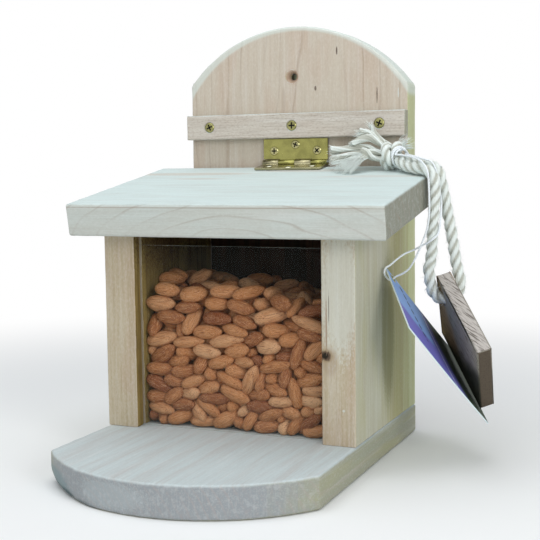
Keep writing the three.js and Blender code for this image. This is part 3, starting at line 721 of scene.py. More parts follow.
def make_sides():
    finishes = (side_pine(), panel_pine(), stained_pine())
    for side, slot, outward in (("left", "pine", -1), ("right", "pine_olive", 1)):
        mesh = merged_copy(f"{side}_side_panel")
        round_edges(mesh, sizes().small_arris, 0.08 * MM, picked=clear_of_back)
        for face in mesh.faces:
            face.normal_update()
            if face.normal.x * outward > 0.7:
                face.material_index = 1
            elif face.normal.x * outward < -0.2 and face.calc_center_median().y > INNER_FRONT * MM:
                face.material_index = 2
        stands_for(board_object(f"{side}_side", mesh, *finishes), "box", slot, f"{side}_side_panel")


# Where the back board is the rear wall of the nut space, in millimetres
REAR_WALL_SIDES = (-56.0, 48.2)
REAR_WALL_TOP = 140.0
SHOULDER_FACET = math.radians(6)
# The circle of the back board's arch: its centre and its radius at the front face
ARCH_CENTRE, ARCH_RADIUS = (-0.65, 82.5, 152.2), 79.3


def clear_of_back(edge):
    """Whether an edge of a side panel isn't where the panel meets the back board."""
    return (edge.verts[0].co.y + edge.verts[1].co.y) / 2 / MM < 81


def make_back():
    mesh = merged_copy("back_board")
    shoulders = [vertex for vertex in mesh.verts if abs(vertex.co.x) > 50 * MM and vertex.co.z > 190 * MM]
    edges = {edge for vertex in shoulders for edge in vertex.link_edges}
    bmesh.ops.dissolve_limit(mesh, angle_limit=SHOULDER_FACET, verts=shoulders, edges=list(edges))
    sliced(mesh, 0, *REAR_WALL_SIDES)
    sliced(mesh, 2, REAR_WALL_TOP)
    round_edges(mesh, sizes().board_arris, 0.12 * MM, 9 * MM, shortest=0.3 * MM, picked=outline_edge)
    for face in mesh.faces:
        face.normal_update()
        middle = face.calc_center_median() / MM
        within = REAR_WALL_SIDES[0] < middle.x < REAR_WALL_SIDES[1] and middle.z < REAR_WALL_TOP
        # The rear wall behind the nuts takes the painted shade
        face.material_index = int(within and face.normal.y < -0.7)
    stands_for(board_object("back", mesh, back_pine(), rear_wall_painted_shade()), "box", "pine", "back_board")


def outline_edge(edge):
    """Whether an edge of the back board is on its outline, and neither round a hole nor where a side meets it."""
    middle = (edge.verts[0].co + edge.verts[1].co) / 2 / MM
    hole = Vector((-2.65, middle.y, 204.2))
    inside = abs(middle.x + 0.65) < 60 and middle.z < 200
    joined = middle.z < REAR_WALL_TOP and middle.y < 83
    return (middle - hole).length > 8 and not inside and not joined


def make_batten():
    mesh = merged_copy("stop_batten")
    round_edges(mesh, sizes().small_arris, 0.12 * MM, 4 * MM)
    stands_for(board_object("batten", mesh, batten_pine()), "box", "pine", "stop_batten")


def make_lid():
    mesh = merged_copy("lid_board")
    round_edges(mesh, sizes().board_arris, 0.16 * MM, 5 * MM)
    stands_for(board_object("lid_plank", mesh, lid_pine()), "lid", "pine_cool", "lid_board")


# Metal
def plated(name, colour, roughness, scratch=0.15):
    """Plated steel: even colour, slightly uneven gloss and fine scratches, which keep it from looking moulded."""
    material, tree, output = new_material(name)
    place = add(tree, "ShaderNodeTexCoord").outputs["Object"]
    stretch = add(tree, "ShaderNodeMapping", {"Vector": place, "Scale": (180, 2400, 2400)})
    lines = add(tree, "ShaderNodeTexNoise", {"Vector": stretch, "Scale": 1.0, "Detail": 3.0})
    clouds = add(tree, "ShaderNodeTexNoise", {"Vector": place, "Scale": 160.0, "Detail": 3.0})
    limits = {"Value": clouds, "From Min": 0.3, "From Max": 0.7}
    limits.update({"To Min": roughness * 0.7, "To Max": roughness * 1.3})
    rough = add(tree, "ShaderNodeMapRange", limits)
    darker = [part * 0.72 for part in colour[:3]] + [1.0]
    tone = painted(tree, colour, [(clouds, 0.65, 0.3, 1.0, darker)])
    bump = add(tree, "ShaderNodeBump", {"Height": lines, "Strength": scratch, "Distance": 0.05 * MM})
    inputs = {"Base Color": tone, "Metallic": 1.0, "Roughness": rough, "Normal": bump}
    shader = add(tree, "ShaderNodeBsdfPrincipled", inputs)
    tree.links.new(shader.outputs[0], output.inputs[0])
    return material


def painted_recess_shade():
    """Painted shade at the bottom of a screw's recess."""
    material, tree, output = new_material("Painted shade in the recess")
    place = add(tree, "ShaderNodeTexCoord").outputs["Object"]
    grain = add(tree, "ShaderNodeTexNoise", {"Vector": place, "Scale": 1500.0})
    rough = add(tree, "ShaderNodeMapRange", {"Value": grain.outputs["Fac"], "To Min": 0.35, "To Max": 0.7})
    shader = add(tree, "ShaderNodeBsdfPrincipled", {"Base Color": colours()["recess"], "Roughness": rough})
    tree.links.new(shader.outputs[0], output.inputs[0])
    return material


def make_hinge():
    brass = plated("Polished brass plating", colours()["brass"], 0.22)
    worn = plated("Worn brass plating", colours()["worn_brass"], 0.25)
    pieces = (
        ("hinge_wall", "box", "hinge_wall_leaf", brass),
        ("hinge_rod", "box", "hinge_pin", worn),
        ("hinge_lid", "lid", "hinge_lid_leaf", worn),
    )
    for name, body, node, plating in pieces:
        mesh = merged_copy(node)
        round_edges(mesh, sizes().metal_arris)
        stands_for(board_object(name, mesh, plating), body, "brass", node)


# Screws
SCREW_SIDES = 24
THREAD_TURNS = 9
CROSS_ARM, CROSS_REACH, CROSS_DEPTH = 0.15, 0.62, 0.42
CROSS_FLOOR_SHARE = 0.5


def screw_mesh(name, head, shank, length, materials):
    """A countersunk cross-recess screw that points down -Z with its head's top at the origin."""
    mesh = bmesh.new()

    def ring(radius, height):
        turns = [2 * math.pi * step / SCREW_SIDES for step in range(SCREW_SIDES)]
        return [mesh.verts.new((radius * math.cos(turn), radius * math.sin(turn), height)) for turn in turns]

    profile = [(head * 0.84, 0.0), (head * 0.96, -head * 0.08), (head, -head * 0.14), (shank, -(head - shank) * 0.95)]
    thread_top, thread_end = profile[-1][1] - shank, -length * 0.88
    pitch = (thread_top - thread_end) / THREAD_TURNS
    for turn in range(THREAD_TURNS):
        height = thread_top - pitch * turn
        profile += [(shank * 0.72, height), (shank, height - pitch * 0.45), (shank * 0.72, height - pitch * 0.9)]
    rings = [ring(radius, height) for radius, height in profile]
    for upper, lower in zip(rings, rings[1:]):
        for place in range(SCREW_SIDES):
            after = (place + 1) % SCREW_SIDES
            mesh.faces.new((upper[place], lower[place], lower[after], upper[after]))
    tip = mesh.verts.new((0, 0, -length))
    for place in range(SCREW_SIDES):
        mesh.faces.new((rings[-1][place], tip, rings[-1][(place + 1) % SCREW_SIDES]))

    def cross(scale, height):
        arm, reach = CROSS_ARM * head * scale, CROSS_REACH * head * scale
        quarter = [(reach, -arm), (reach, arm), (arm, arm)]
        places = []
        for _ in range(4):
            places += [mesh.verts.new((x, y, height)) for x, y in quarter]
            quarter = [(-y, x) for x, y in quarter]
        return places

    rim, floor = cross(1.0, 0.0), cross(CROSS_FLOOR_SHARE, -CROSS_DEPTH * head)
    for place, corner in enumerate(rim):
        after = (place + 1) % len(rim)
        wall = mesh.faces.new((corner, rim[after], floor[after], floor[place]))
        wall.material_index = 1
        start = 2 * place - 1
        edge = [rings[0][(start + step) % SCREW_SIDES] for step in range(3)]
        mesh.faces.new((*edge, rim[after], corner))
    mesh.faces.new(floor).material_index = 1
    bmesh.ops.recalc_face_normals(mesh, faces=mesh.faces)
    for edge in mesh.edges:
        edge.smooth = edge.calc_face_angle(0) < SHARP_ANGLE
    return new_object(name, mesh, *materials)


def placing_tree(name):
    """Geometry Nodes that put a shape on each point, turned and scaled by the point's own attributes."""
    tree = bpy.data.node_groups.new(name, "GeometryNodeTree")
    tree.is_modifier = True
    sockets = (("Points", "Geometry"), ("Shape", "Object"), ("Size", "Float"))
    for label, kind in sockets:
        tree.interface.new_socket(label, in_out="INPUT", socket_type=f"NodeSocket{kind}")
    tree.interface.new_socket("Placed", in_out="OUTPUT", socket_type="NodeSocketGeometry")
    given = add(tree, "NodeGroupInput")
    shape = add(tree, "GeometryNodeObjectInfo", {"Object": given.outputs["Shape"], "As Instance": True})
    turn = add(tree, "GeometryNodeInputNamedAttribute", {"Name": "turn"}, data_type="QUATERNION")
    stretch = add(tree, "GeometryNodeInputNamedAttribute", {"Name": "stretch"}, data_type="FLOAT_VECTOR")
    scale = {0: stretch, "Scale": given.outputs["Size"]}
    scaled = add(tree, "ShaderNodeVectorMath", scale, operation="SCALE")
    inputs = {"Points": given.outputs["Points"], "Instance": shape.outputs["Geometry"], "Rotation": turn, "Scale": scaled}
    return end_tree(tree, add(tree, "GeometryNodeInstanceOnPoints", inputs))


def end_tree(tree, geometry):
    """Ends a tree in Realize Instances and Set Material, for the faces of the shape's first material."""
    geometry = add(tree, "GeometryNodeRealizeInstances", {"Geometry": geometry})
    tree.interface.new_socket("Finish", in_out="INPUT", socket_type="NodeSocketMaterial")
    given = add(tree, "NodeGroupInput")
    place = add(tree, "GeometryNodeInputMaterialIndex")
    first = add(tree, "FunctionNodeCompare", {2: place, 3: 0}, data_type="INT", operation="EQUAL")
    finish = {"Geometry": geometry, "Selection": first, "Material": given.outputs["Finish"]}
    add(tree, "NodeGroupOutput", {0: add(tree, "GeometryNodeSetMaterial", finish)})
    return tree


def with_nodes(made, tree, **values):
    """Runs the tree on the object, with its named inputs set, and keeps the result as a plain mesh."""
    modifier = made.modifiers.new(tree.name, "NODES")
    modifier.node_group = tree
    names = {
        item.name: item.identifier
        for item in tree.interface.items_tree
        if item.item_type == "SOCKET" and item.in_out == "INPUT"
    }
    for name, value in values.items():
        modifier[names[name]] = value
    return applied(made)


def points_object(name, places, turns, stretches, tints=None):
    """Loose points with the turn, stretch and tint that placing_tree reads."""
    data = bpy.data.meshes.new(name)
    data.from_pydata([tuple(place) for place in places], [], [])
    turn = data.attributes.new("turn", "QUATERNION", "POINT")
    turn.data.foreach_set("value", np.asarray(turns, np.float32).ravel())
    stretch = data.attributes.new("stretch", "FLOAT_VECTOR", "POINT")
    stretch.data.foreach_set("vector", np.asarray(stretches, np.float32).ravel())
    if tints is not None:
        tint = data.attributes.new("tint", "FLOAT", "POINT")
        tint.data.foreach_set("value", np.asarray(tints, np.float32))
    made = bpy.data.objects.new(name, data)
    bpy.context.scene.collection.objects.link(made)
    return made


def head_of(node, outward):
    """The middle of a CAD screw's flat head, which faces outward."""
    outward = Vector(outward)
    places = {tuple(round(part, 7) for part in vertex.co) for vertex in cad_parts[node].data.vertices}
    furthest = max(Vector(place).dot(outward) for place in places)
    rim = [Vector(place) for place in places if Vector(place).dot(outward) > furthest - 0.02 * MM]
    low = Vector([min(place[axis] for place in rim) for axis in range(3)])
    high = Vector([max(place[axis] for place in rim) for axis in range(3)])
    return (low + high) / 2


def make_screws():
    c = colours()
    tilt = math.radians(LID_TILT)
    zinc = plated("Yellow zinc plating", c["yellow_zinc"], 0.3)
    brass = plated("Brass plating on screws", c["screw_brass"], 0.25)
    nickel = plated("Pale plating on screws", c["nickel"], 0.22)
    dark = painted_recess_shade()
    lid_up = (0.0, -math.sin(tilt), math.cos(tilt))
    sets = (
        ("batten_screws", "box", "yellow_zinc", zinc, (3.0, 1.3, 16), "batten_screw_", 3, (0, -1, 0)),
        ("wall_leaf_screws", "box", "brass", brass, (2.6, 1.1, 10), "hinge_wall_screw_", 3, (0, -1, 0)),
        ("lid_leaf_screws", "lid", "brass", nickel, (2.6, 1.1, 10), "hinge_lid_screw_", 3, lid_up),
        ("base_screws", "box", "yellow_zinc", zinc, (3.8, 1.7, 32), "base_screw_", 6, (0, 0, -1)),
        ("back_screws", "box", "yellow_zinc", zinc, (3.8, 1.7, 32), "back_screw_", 4, (0, 1, 0)),
    )
    tree = placing_tree("Screws in their holes")
    for order, (name, body, slot, plating, shape, prefix, count, outward) in enumerate(sets):
        head, shank, length = (part * MM for part in shape)
        model = screw_mesh(f"{name}_model", head, shank, length, (plating, dark))
        nodes = [f"{prefix}{number}" for number in range(1, count + 1)]
        places = [head_of(node, outward) for node in nodes]
        upright = Vector((0, 0, 1)).rotation_difference(Vector(outward))
        spins = [Quaternion((0, 0, 1), 0.4 + 1.17 * (step + order)) for step in range(count)]
        turns = [upright @ spin for spin in spins]
        made = points_object(name, places, turns, [(1, 1, 1)] * count)
        with_nodes(made, tree, Shape=model, Size=1.0, Finish=plating)
        bpy.data.objects.remove(model)
        stands_for(made, body, slot, *nodes)


# Window
def clear_acrylic():
    """Cut acrylic sheet: clear with a sharp gloss, dusty towards its foot, and pale where its sawn edges glow."""
    c = colours()
    low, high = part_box("window_pane")
    material, tree, output = new_material("Clear acrylic sheet")
    place = add(tree, "ShaderNodeTexCoord").outputs["Object"]
    height = add(tree, "ShaderNodeSeparateXYZ", {0: place}).outputs["Z"]
    clear = add(tree, "ShaderNodeBsdfTransparent")
    gloss = add(tree, "ShaderNodeBsdfGlossy", {"Roughness": 0.04})
    dust = add(tree, "ShaderNodeBsdfDiffuse", {"Color": c["acrylic"]})
    # Low, because the white backdrop would veil the dark inside, and the real sheet faces a dark room
    view = add(tree, "ShaderNodeFresnel", {"IOR": 1.13})
    # Only where light enters: rays aren't bent here, so the far face would mirror all that meets it aslant
    leaving = add(tree, "ShaderNodeNewGeometry").outputs["Backfacing"]
    entering = add(tree, "ShaderNodeMath", {0: 1.0, 1: leaving}, operation="SUBTRACT")
    shine = add(tree, "ShaderNodeMath", {0: view, 1: entering}, operation="MULTIPLY")
    sheet = add(tree, "ShaderNodeMixShader", {0: shine, 1: clear, 2: gloss})
    clouds = add(tree, "ShaderNodeTexNoise", {"Vector": place, "Scale": 45.0, "Detail": 4.0})
    limits = {"Value": height, "From Min": low.z, "From Max": low.z + 40 * MM, "To Min": 0.03, "To Max": 0.008}
    lower = add(tree, "ShaderNodeMapRange", limits)
    haze = add(tree, "ShaderNodeMath", {0: clouds, 1: lower}, operation="MULTIPLY")
    dusty = add(tree, "ShaderNodeMixShader", {0: haze, 1: sheet, 2: dust})
    facing = add(tree, "ShaderNodeAttribute", attribute_name="facing").outputs["Vector"]
    broad = add(tree, "ShaderNodeVectorMath", {0: facing, 1: (0, 1, 0)}, operation="DOT_PRODUCT").outputs["Value"]
    size = add(tree, "ShaderNodeMath", {0: broad}, operation="ABSOLUTE")
    limits = {"Value": size, "From Min": 0.97, "From Max": 0.5, "To Min": 0.0, "To Max": 0.22}
    edge = add(tree, "ShaderNodeMapRange", limits)
    whole = add(tree, "ShaderNodeMixShader", {0: edge, 1: dusty, 2: dust})
    tree.links.new(whole.outputs[0], output.inputs[0])
    return material


def make_window():
    mesh = merged_copy("window_pane")
    round_edges(mesh, 0.25 * MM)
    stands_for(board_object("window_sheet", mesh, clear_acrylic()), "window", "acrylic", "window_pane")


# Nuts
NUT_PROFILE = ((-0.95, 0.4), (-0.78, 0.72), (-0.45, 0.96), (-0.02, 1.0), (0.4, 0.9), (0.72, 0.64), (0.92, 0.32))
NUT_SIDES = 8
# The heap's height at the front, and its rise in the middle and to the left
NUT_TOP_FRONT, NUT_TOP_CROWN, NUT_TOP_SLOPE = 74.0, 2.0, 4.0
# How much higher it is at the rear, in the middle and to the left
NUT_TOP_REAR, NUT_TOP_TURN = -2.0, 6.0
# How far the nuts press into the oily sides, which leaves no gap there
NUT_PRESS = 0.8
SETTLE_STEPS = 170
SETTLE_SHARE = 0.5


def nut_skin():
    """The papery brown skin of a kernel: fine wrinkles from end to end, satin, paler where it has rubbed."""
    c = colours()
    material, tree, output = new_material("Papery nut skin")
    local = add(tree, "ShaderNodeAttribute", attribute_name="local").outputs["Vector"]
    tint = add(tree, "ShaderNodeAttribute", attribute_name="tint").outputs["Fac"]
    own = add(tree, "ShaderNodeVectorMath", {0: local, 1: (1.0, 1.0, 1.0), 2: tint}, operation="MULTIPLY_ADD")
    wrinkle_size = add(tree, "ShaderNodeVectorMath", {0: own, 1: (1.3, 11.0, 11.0)}, operation="MULTIPLY")
    wrinkles = add(tree, "ShaderNodeTexNoise", {"Vector": wrinkle_size, "Scale": 1.0, "Detail": 3.0, "Roughness": 0.6})
    patches = add(tree, "ShaderNodeTexNoise", {"Vector": own, "Scale": 2.2, "Detail": 2.0})
    shade = add(tree, "ShaderNodeMath", {0: patches, 1: 0.5, 2: tint}, operation="MULTIPLY_ADD")
    skin = painted(
        tree,
        c["nut_dark"],
        [
            (shade, 0.25, 0.75, 1.0, c["nut_mid"]),
            (shade, 0.75, 1.25, 1.0, c["nut_light"]),
            (wrinkles, 0.52, 0.66, 0.6, c["nut_light"]),
            (wrinkles, 0.47, 0.34, 0.85, c["nut_dark"]),
        ],
    )
    bump = add(tree, "ShaderNodeBump", {"Height": wrinkles, "Strength": 0.9, "Distance": 0.6 * MM})
    shader = add(tree, "ShaderNodeBsdfPrincipled", {"Base Color": skin, "Roughness": 0.55, "Normal": bump})
    shader.inputs["Specular IOR Level"].default_value = 0.3
    tree.links.new(shader.outputs[0], output.inputs[0])
    return material


def nut_model(skin):
    """One kernel of unit half length and half width along X: blunt at one end and pointed at the other."""
    mesh = bmesh.new()
    local = mesh.verts.layers.float_vector.new("local")
    rows = []
    for along, reach in NUT_PROFILE:
        row = []
        for step in range(NUT_SIDES):
            turn = 2 * math.pi * (step + 0.5) / NUT_SIDES
            facet = 1 + 0.05 * math.sin(3 * turn + 2 * along)
            row.append(mesh.verts.new((along, reach * facet * math.cos(turn), reach * facet * math.sin(turn))))
        rows.append(row)
    ends = [mesh.verts.new((-1, 0, 0)), mesh.verts.new((1.03, 0.04, 0))]
    for row, following in zip(rows, rows[1:]):
        for place in range(NUT_SIDES):
            after = (place + 1) % NUT_SIDES
            mesh.faces.new((row[place], row[after], following[after], following[place]))
    for place in range(NUT_SIDES):
        after = (place + 1) % NUT_SIDES
        mesh.faces.new((ends[0], rows[0][after], rows[0][place]))
        mesh.faces.new((ends[1], rows[-1][place], rows[-1][after]))
    bmesh.ops.recalc_face_normals(mesh, faces=mesh.faces)
    for vertex in mesh.verts:
        vertex[local] = vertex.co
    return new_object("nut_model", mesh, skin)


def heap_limits():
    """The corners of the space that the nuts lie in, in millimetres."""
    low, high = (np.array(corner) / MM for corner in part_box("nut_fill"))
    pane = np.array(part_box("window_pane")[1]) / MM
    low[1] = pane[1] + 0.25
    low[0] -= NUT_PRESS
    high[0] += NUT_PRESS
    return low, high


def heap_top(places, low, high):
    """How high the heap is over each place."""
    back = (places[:, 1] - low[1]) / (high[1] - low[1])
    aside = (places[:, 0] - (low[0] + high[0]) / 2) / (high[0] - low[0]) * 2
    rear = np.clip(back * 2.2, 0, 1) * (NUT_TOP_REAR - NUT_TOP_TURN * aside)
    return low[2] + NUT_TOP_FRONT + rear + NUT_TOP_CROWN * (1 - aside**2) - NUT_TOP_SLOPE * aside


def settled_nuts():
    """Nuts dropped in the box as rows of three balls each, pushed apart and down until they lie together."""
    draw = np.random.default_rng(20)
    low, high = heap_limits()
    length, width = sizes().nut_length / MM, sizes().nut_width / MM
    space = np.array([length * 0.88, width * 0.9, width * 0.78])
    counts = np.maximum(1, ((high - low) / space).astype(int) + np.array([1, 1, 2]))
    steps = [np.arange(count) + 0.5 for count in counts]
    grid = np.stack(np.meshgrid(*steps, indexing="ij"), axis=-1).reshape(-1, 3)
    places = low + grid * space + draw.uniform(-0.3, 0.3, grid.shape) * space
    places[:, 0] += np.where(grid[:, 2].astype(int) % 2, 0.4, 0.0) * space[0]
    count = len(places)
    long_share = draw.uniform(0.74, 1.12, count)
    wide_share = draw.uniform(0.84, 1.14, count)
    half_long, half_wide = length / 2 * long_share, width / 2 * wide_share
    yaw = draw.normal(0, 0.38, count) + np.where(draw.random(count) < 0.16, 1.4, 0.0)
    pitch = draw.normal(0, 0.3, count) + np.where(draw.random(count) < 0.2, draw.uniform(0.7, 1.5, count), 0.0)
    heading = np.stack([np.cos(yaw) * np.cos(pitch), np.sin(yaw) * np.cos(pitch), np.sin(pitch)], axis=1)
    balls = np.array([-1.0, 0.0, 1.0])
    ball_share = np.array([0.72, 0.96, 0.6])
    arm = (half_long - 0.62 * half_wide)[:, None] * balls * np.array([1.0, 1.0, 0.92])
    radius = half_wide[:, None] * ball_share
    for step in range(SETTLE_STEPS):
        if step % 10 == 0:
            apart = places[:, None] - places[None]
            near = np.einsum("ijk,ijk->ij", apart, apart) < (length + 3) ** 2
            one, two = np.nonzero(np.triu(near, 1))
        if step < SETTLE_STEPS * 0.75:
            places[:, 2] -= 0.16
        centres = places[:, None] + heading[:, None] * arm[..., None]
        gap = centres[one][:, :, None] - centres[two][:, None]
        distance = np.linalg.norm(gap, axis=-1) + 1e-9
        overlap = np.clip(radius[one][:, :, None] + radius[two][:, None] - distance, 0, None)
        push = gap / distance[..., None] * overlap[..., None] * SETTLE_SHARE
        moves = np.zeros_like(centres)
        np.add.at(moves, one, push.sum(axis=2) * 0.5)
        np.add.at(moves, two, -push.sum(axis=1) * 0.5)
        centres = centres + moves
        inside = np.clip(centres, low + radius[..., None], np.array([high[0], high[1], 400]) - radius[..., None])
        moves += inside - centres
        places += moves.mean(axis=1) * 1.5
        torque = (moves * balls[None, :, None]).sum(axis=1) / (2 * half_long[:, None] * 0.8)
        heading += torque
        heading /= np.linalg.norm(heading, axis=1)[:, None]
    tops = (places[:, None] + heading[:, None] * arm[..., None])[..., 2] + radius
    over = tops.max(axis=1) - heap_top(places, low, high)
    standing = (np.abs(heading[:, 2]) > 0.65) & (over > -4)
    kept = (over < 2) & ~standing
    tint = np.clip(draw.normal(0.5, 0.22, count), 0.02, 0.98)
    spin = draw.uniform(0, math.pi, count)
    return places[kept], heading[kept], half_long[kept], half_wide[kept], tint[kept], spin[kept]


def make_nuts():
    skin = nut_skin()
    model = nut_model(skin)
    places, heading, half_long, half_wide, tint, spin = settled_nuts()
    turns = []
    for direction, roll in zip(heading, spin):
        turn = Vector((1, 0, 0)).rotation_difference(Vector(direction))
        turns.append(turn @ Quaternion((1, 0, 0), roll))
    stretch = np.stack([half_long, half_wide, half_wide * 0.86], axis=1) * MM
    made = points_object("nuts", places * MM, turns, stretch, tint)
    tree = placing_tree("Nuts in a heap")
    with_nodes(made, tree, Shape=model, Size=1.0, Finish=skin)
    bpy.data.objects.remove(model)
    stands_for(made, "box", "nuts", "nut_fill")


# Rope
def cotton_yarn():
    """Unbleached cotton: matt, fuzzy off-white yarns with grey in the grooves between them."""
    c = colours()
    material, tree, output = new_material("Twisted cotton")
    place = add(tree, "ShaderNodeTexCoord").outputs["Object"]
    groove = add(tree, "ShaderNodeAttribute", attribute_name="groove").outputs["Fac"]
    fuzz = add(tree, "ShaderNodeTexNoise", {"Vector": place, "Scale": 1500.0, "Detail": 3.0, "Roughness": 0.7})
    clouds = add(tree, "ShaderNodeTexNoise", {"Vector": place, "Scale": 220.0, "Detail": 2.0})
    # Painted shade and dirt: grey deepening into the grooves between the strands
    depth = add(tree, "ShaderNodeMath", {0: fuzz, 1: 0.12, 2: groove}, operation="MULTIPLY_ADD")
    layers = [(depth, 0.09, 0.34, 0.85, c["cotton_shade"]), (clouds, 0.48, 0.75, 0.25, c["cotton_shade"])]
    yarn = painted(tree, c["cotton"], layers)
    bump = add(tree, "ShaderNodeBump", {"Height": fuzz, "Strength": 0.5, "Distance": 0.3 * MM})
    shader = add(tree, "ShaderNodeBsdfPrincipled", {"Base Color": yarn, "Roughness": 0.92, "Normal": bump})
    shader.inputs["Specular IOR Level"].default_value = 0.1
    shader.inputs["Sheen Weight"].default_value = 0.25
    tree.links.new(shader.outputs[0], output.inputs[0])
    return material


def shared_cotton():
    return bpy.data.materials.get("Twisted cotton") or cotton_yarn()


KNOT_CENTRE = (66.2, 73.2, 158.4)
KNOT_RING, KNOT_BEND = 3.9, 2.4
KNOT_ROPE = 2.65
# Direction of the knot's hole, which the rope comes through
KNOT_AXIS = (0.93, -0.30, -0.20)

# Unlaid strands at the rope's ends: route, radius and how far the cut end flares, in the box's millimetres
STRANDS = (
    (((63, 76, 160), (58, 77, 160.6), (52.4, 77, 162.6), (44.6, 76, 163.1), (37.3, 76, 162.2), (31.2, 75.6, 161.2)), 1.55, 1.5),
    (((63, 75, 159), (57, 75, 160), (50.4, 74.6, 160.2), (44, 74, 159.4), (38.3, 73.4, 157.6), (31.6, 73, 156.2)), 1.5, 1.35),
    (((64, 77, 163), (60, 78, 165.6), (56.8, 78, 168), (52, 78, 170.6), (47, 77.5, 171.2)), 1.5, 1.3),
    (((63, 75.5, 162), (58.6, 75.6, 165), (53, 75.6, 168), (48, 75.6, 167.4), (43.6, 75.4, 165)), 1.6, 1.35),
    (((62, 77.5, 164), (57.4, 78, 168.4), (54.6, 78.4, 171.4), (53.6, 78.6, 174.4)), 1.0, 1.2),
    (((64, 72, 157), (60, 71.6, 156.6), (56, 71, 157.4), (52.6, 70.4, 160.2), (50, 70, 161.2)), 1.7, 0.9),
    (((61, 73, 159.4), (56, 72, 160), (52.4, 70.8, 158.8), (49.6, 69.2, 156.9)), 1.7, 1.2),
)
STRAND_LAY = 9.0
STRAND_STEP = 0.45


def strand_outline(radius, flare, length, start):
    """A loosely twisted strand of seven yarns that swells where it was cut."""

    def outline(along, around):
        share = along / length
        swell = 1 + (flare - 1) * np.clip((share - 0.45) / 0.55, 0, 1) ** 1.5
        ridge = 0.11 * np.cos(7 * (around - 2 * math.pi * along / (STRAND_LAY * 4)) + start)
        flat = 1 - 0.22 * np.cos(2 * (around - start) - 2 * math.pi * along / (STRAND_LAY * 2.2))
        return radius * swell * (flat + ridge)

    return outline


def trefoil(centre, axis):
    """The centreline of a tight overhand knot, in millimetres."""
    turns = np.linspace(0, 2 * math.pi, 160)
    reach = KNOT_RING + KNOT_BEND * np.cos(3 * turns)
    flat = np.stack([reach * np.cos(2 * turns), reach * np.sin(2 * turns), KNOT_BEND * np.sin(3 * turns)], axis=1)
    turn = Vector((0, 0, 1)).rotation_difference(Vector(axis)).to_matrix()
    return np.asarray(centre) + flat @ np.array(turn).T


def make_rope():
    radius, lay = sizes().rope / 2 / MM, sizes().rope_lay / MM
    points = smooth_route(in_hangings(ROPE_ROUTE))
    mesh = bmesh.new()
    sweep(mesh, points, laid_outline(radius, lay, yarns=15), 48)
    rope = new_object("cotton_rope", mesh, shared_cotton())
    stands_for(rope, "rope_set", "cotton", "rope_loop")
    return rope, points, make_fuzz(points, radius)


def make_knot():
    mesh = bmesh.new()
    knot = evenly(trefoil(in_box(KNOT_CENTRE), KNOT_AXIS), 0.5)
    sweep(mesh, knot, laid_outline(KNOT_ROPE, 14.0, yarns=12), 36)
    made = new_object("tied_knot", mesh, shared_cotton())
    return stands_for(made, "rope_set", "cotton", "rope_knot")


def make_ends():
    mesh = bmesh.new()
    for place, (route, radius, flare) in enumerate(STRANDS):
        points = smooth_route(in_box(route), STRAND_STEP)
        length = np.linalg.norm(np.diff(points, axis=0), axis=1).sum()
        sweep(mesh, points, strand_outline(radius, flare, length, place * 1.3), 28, 0.9, place)
    made = new_object("loose_strands", mesh, shared_cotton())
    nodes = ("rope_end_left", "rope_end_top", "rope_end_low")
    return stands_for(made, "rope_set", "cotton", *nodes)


# Bundles of loose fibres: where they start, where they end, spread at each end, and how many
FIBRE_BUNDLES = (
    ((50.6, 69.8, 158.6), (34.3, 68, 153.9), 1.3, 1.0, 40),
    ((50.6, 69.6, 158.3), (37.6, 64.4, 151.4), 1.3, 1.5, 60),
    ((50.8, 69.4, 158.0), (43.0, 61.2, 149.9), 1.3, 1.4, 60),
    ((51.2, 69.6, 157.8), (47.0, 60.0, 149.7), 1.1, 0.9, 36),
    ((36.0, 76, 162.0), (30.4, 75.8, 161.6), 1.5, 2.0, 46),
    ((37.4, 73.4, 157.6), (31.0, 73, 155.6), 1.4, 1.8, 40),
    ((50.0, 77.6, 170.6), (44.6, 77.4, 170.6), 1.2, 1.9, 36),
    ((46.6, 75.5, 166.8), (41.8, 75.3, 164.2), 1.4, 1.8, 36),
    ((53.8, 78.5, 172.0), (51.6, 78.6, 176.2), 0.8, 1.8, 30),
    ((69.0, 78.6, 163.4), (72.8, 80.4, 167.6), 1.4, 3.0, 34),
    ((69.4, 79.0, 162.4), (76.4, 80.2, 163.4), 1.2, 1.8, 26),
)
FIBRE_POINTS = 7


def fibre_tree():
    """Geometry Nodes that turn each line into a fibre that thins towards its tip."""
    tree = bpy.data.node_groups.new("Loose cotton fibres", "GeometryNodeTree")
    tree.is_modifier = True
    for label, kind in (("Lines", "Geometry"), ("Thickness", "Float"), ("Tip share", "Float")):
        tree.interface.new_socket(label, in_out="INPUT", socket_type=f"NodeSocket{kind}")
    tree.interface.new_socket("Fibres", in_out="OUTPUT", socket_type="NodeSocketGeometry")
    given = add(tree, "NodeGroupInput")
    lines = add(tree, "GeometryNodeMeshToCurve", {"Mesh": given.outputs["Lines"]})
    share = add(tree, "GeometryNodeSplineParameter").outputs["Factor"]
    limits = {"Value": share, "From Min": 0.3, "To Min": 1.0, "To Max": given.outputs["Tip share"]}
    taper = add(tree, "ShaderNodeMapRange", limits)
    half = add(tree, "ShaderNodeMath", {0: given.outputs["Thickness"], 1: 0.5}, operation="MULTIPLY")
    radius = add(tree, "ShaderNodeMath", {0: taper, 1: half}, operation="MULTIPLY")
    profile = add(tree, "GeometryNodeCurvePrimitiveCircle", {"Resolution": 4, "Radius": 1.0}).outputs["Curve"]
    solid = {"Curve": lines, "Profile Curve": profile, "Scale": radius, "Fill Caps": True}
    return end_tree(tree, add(tree, "GeometryNodeCurveToMesh", solid))


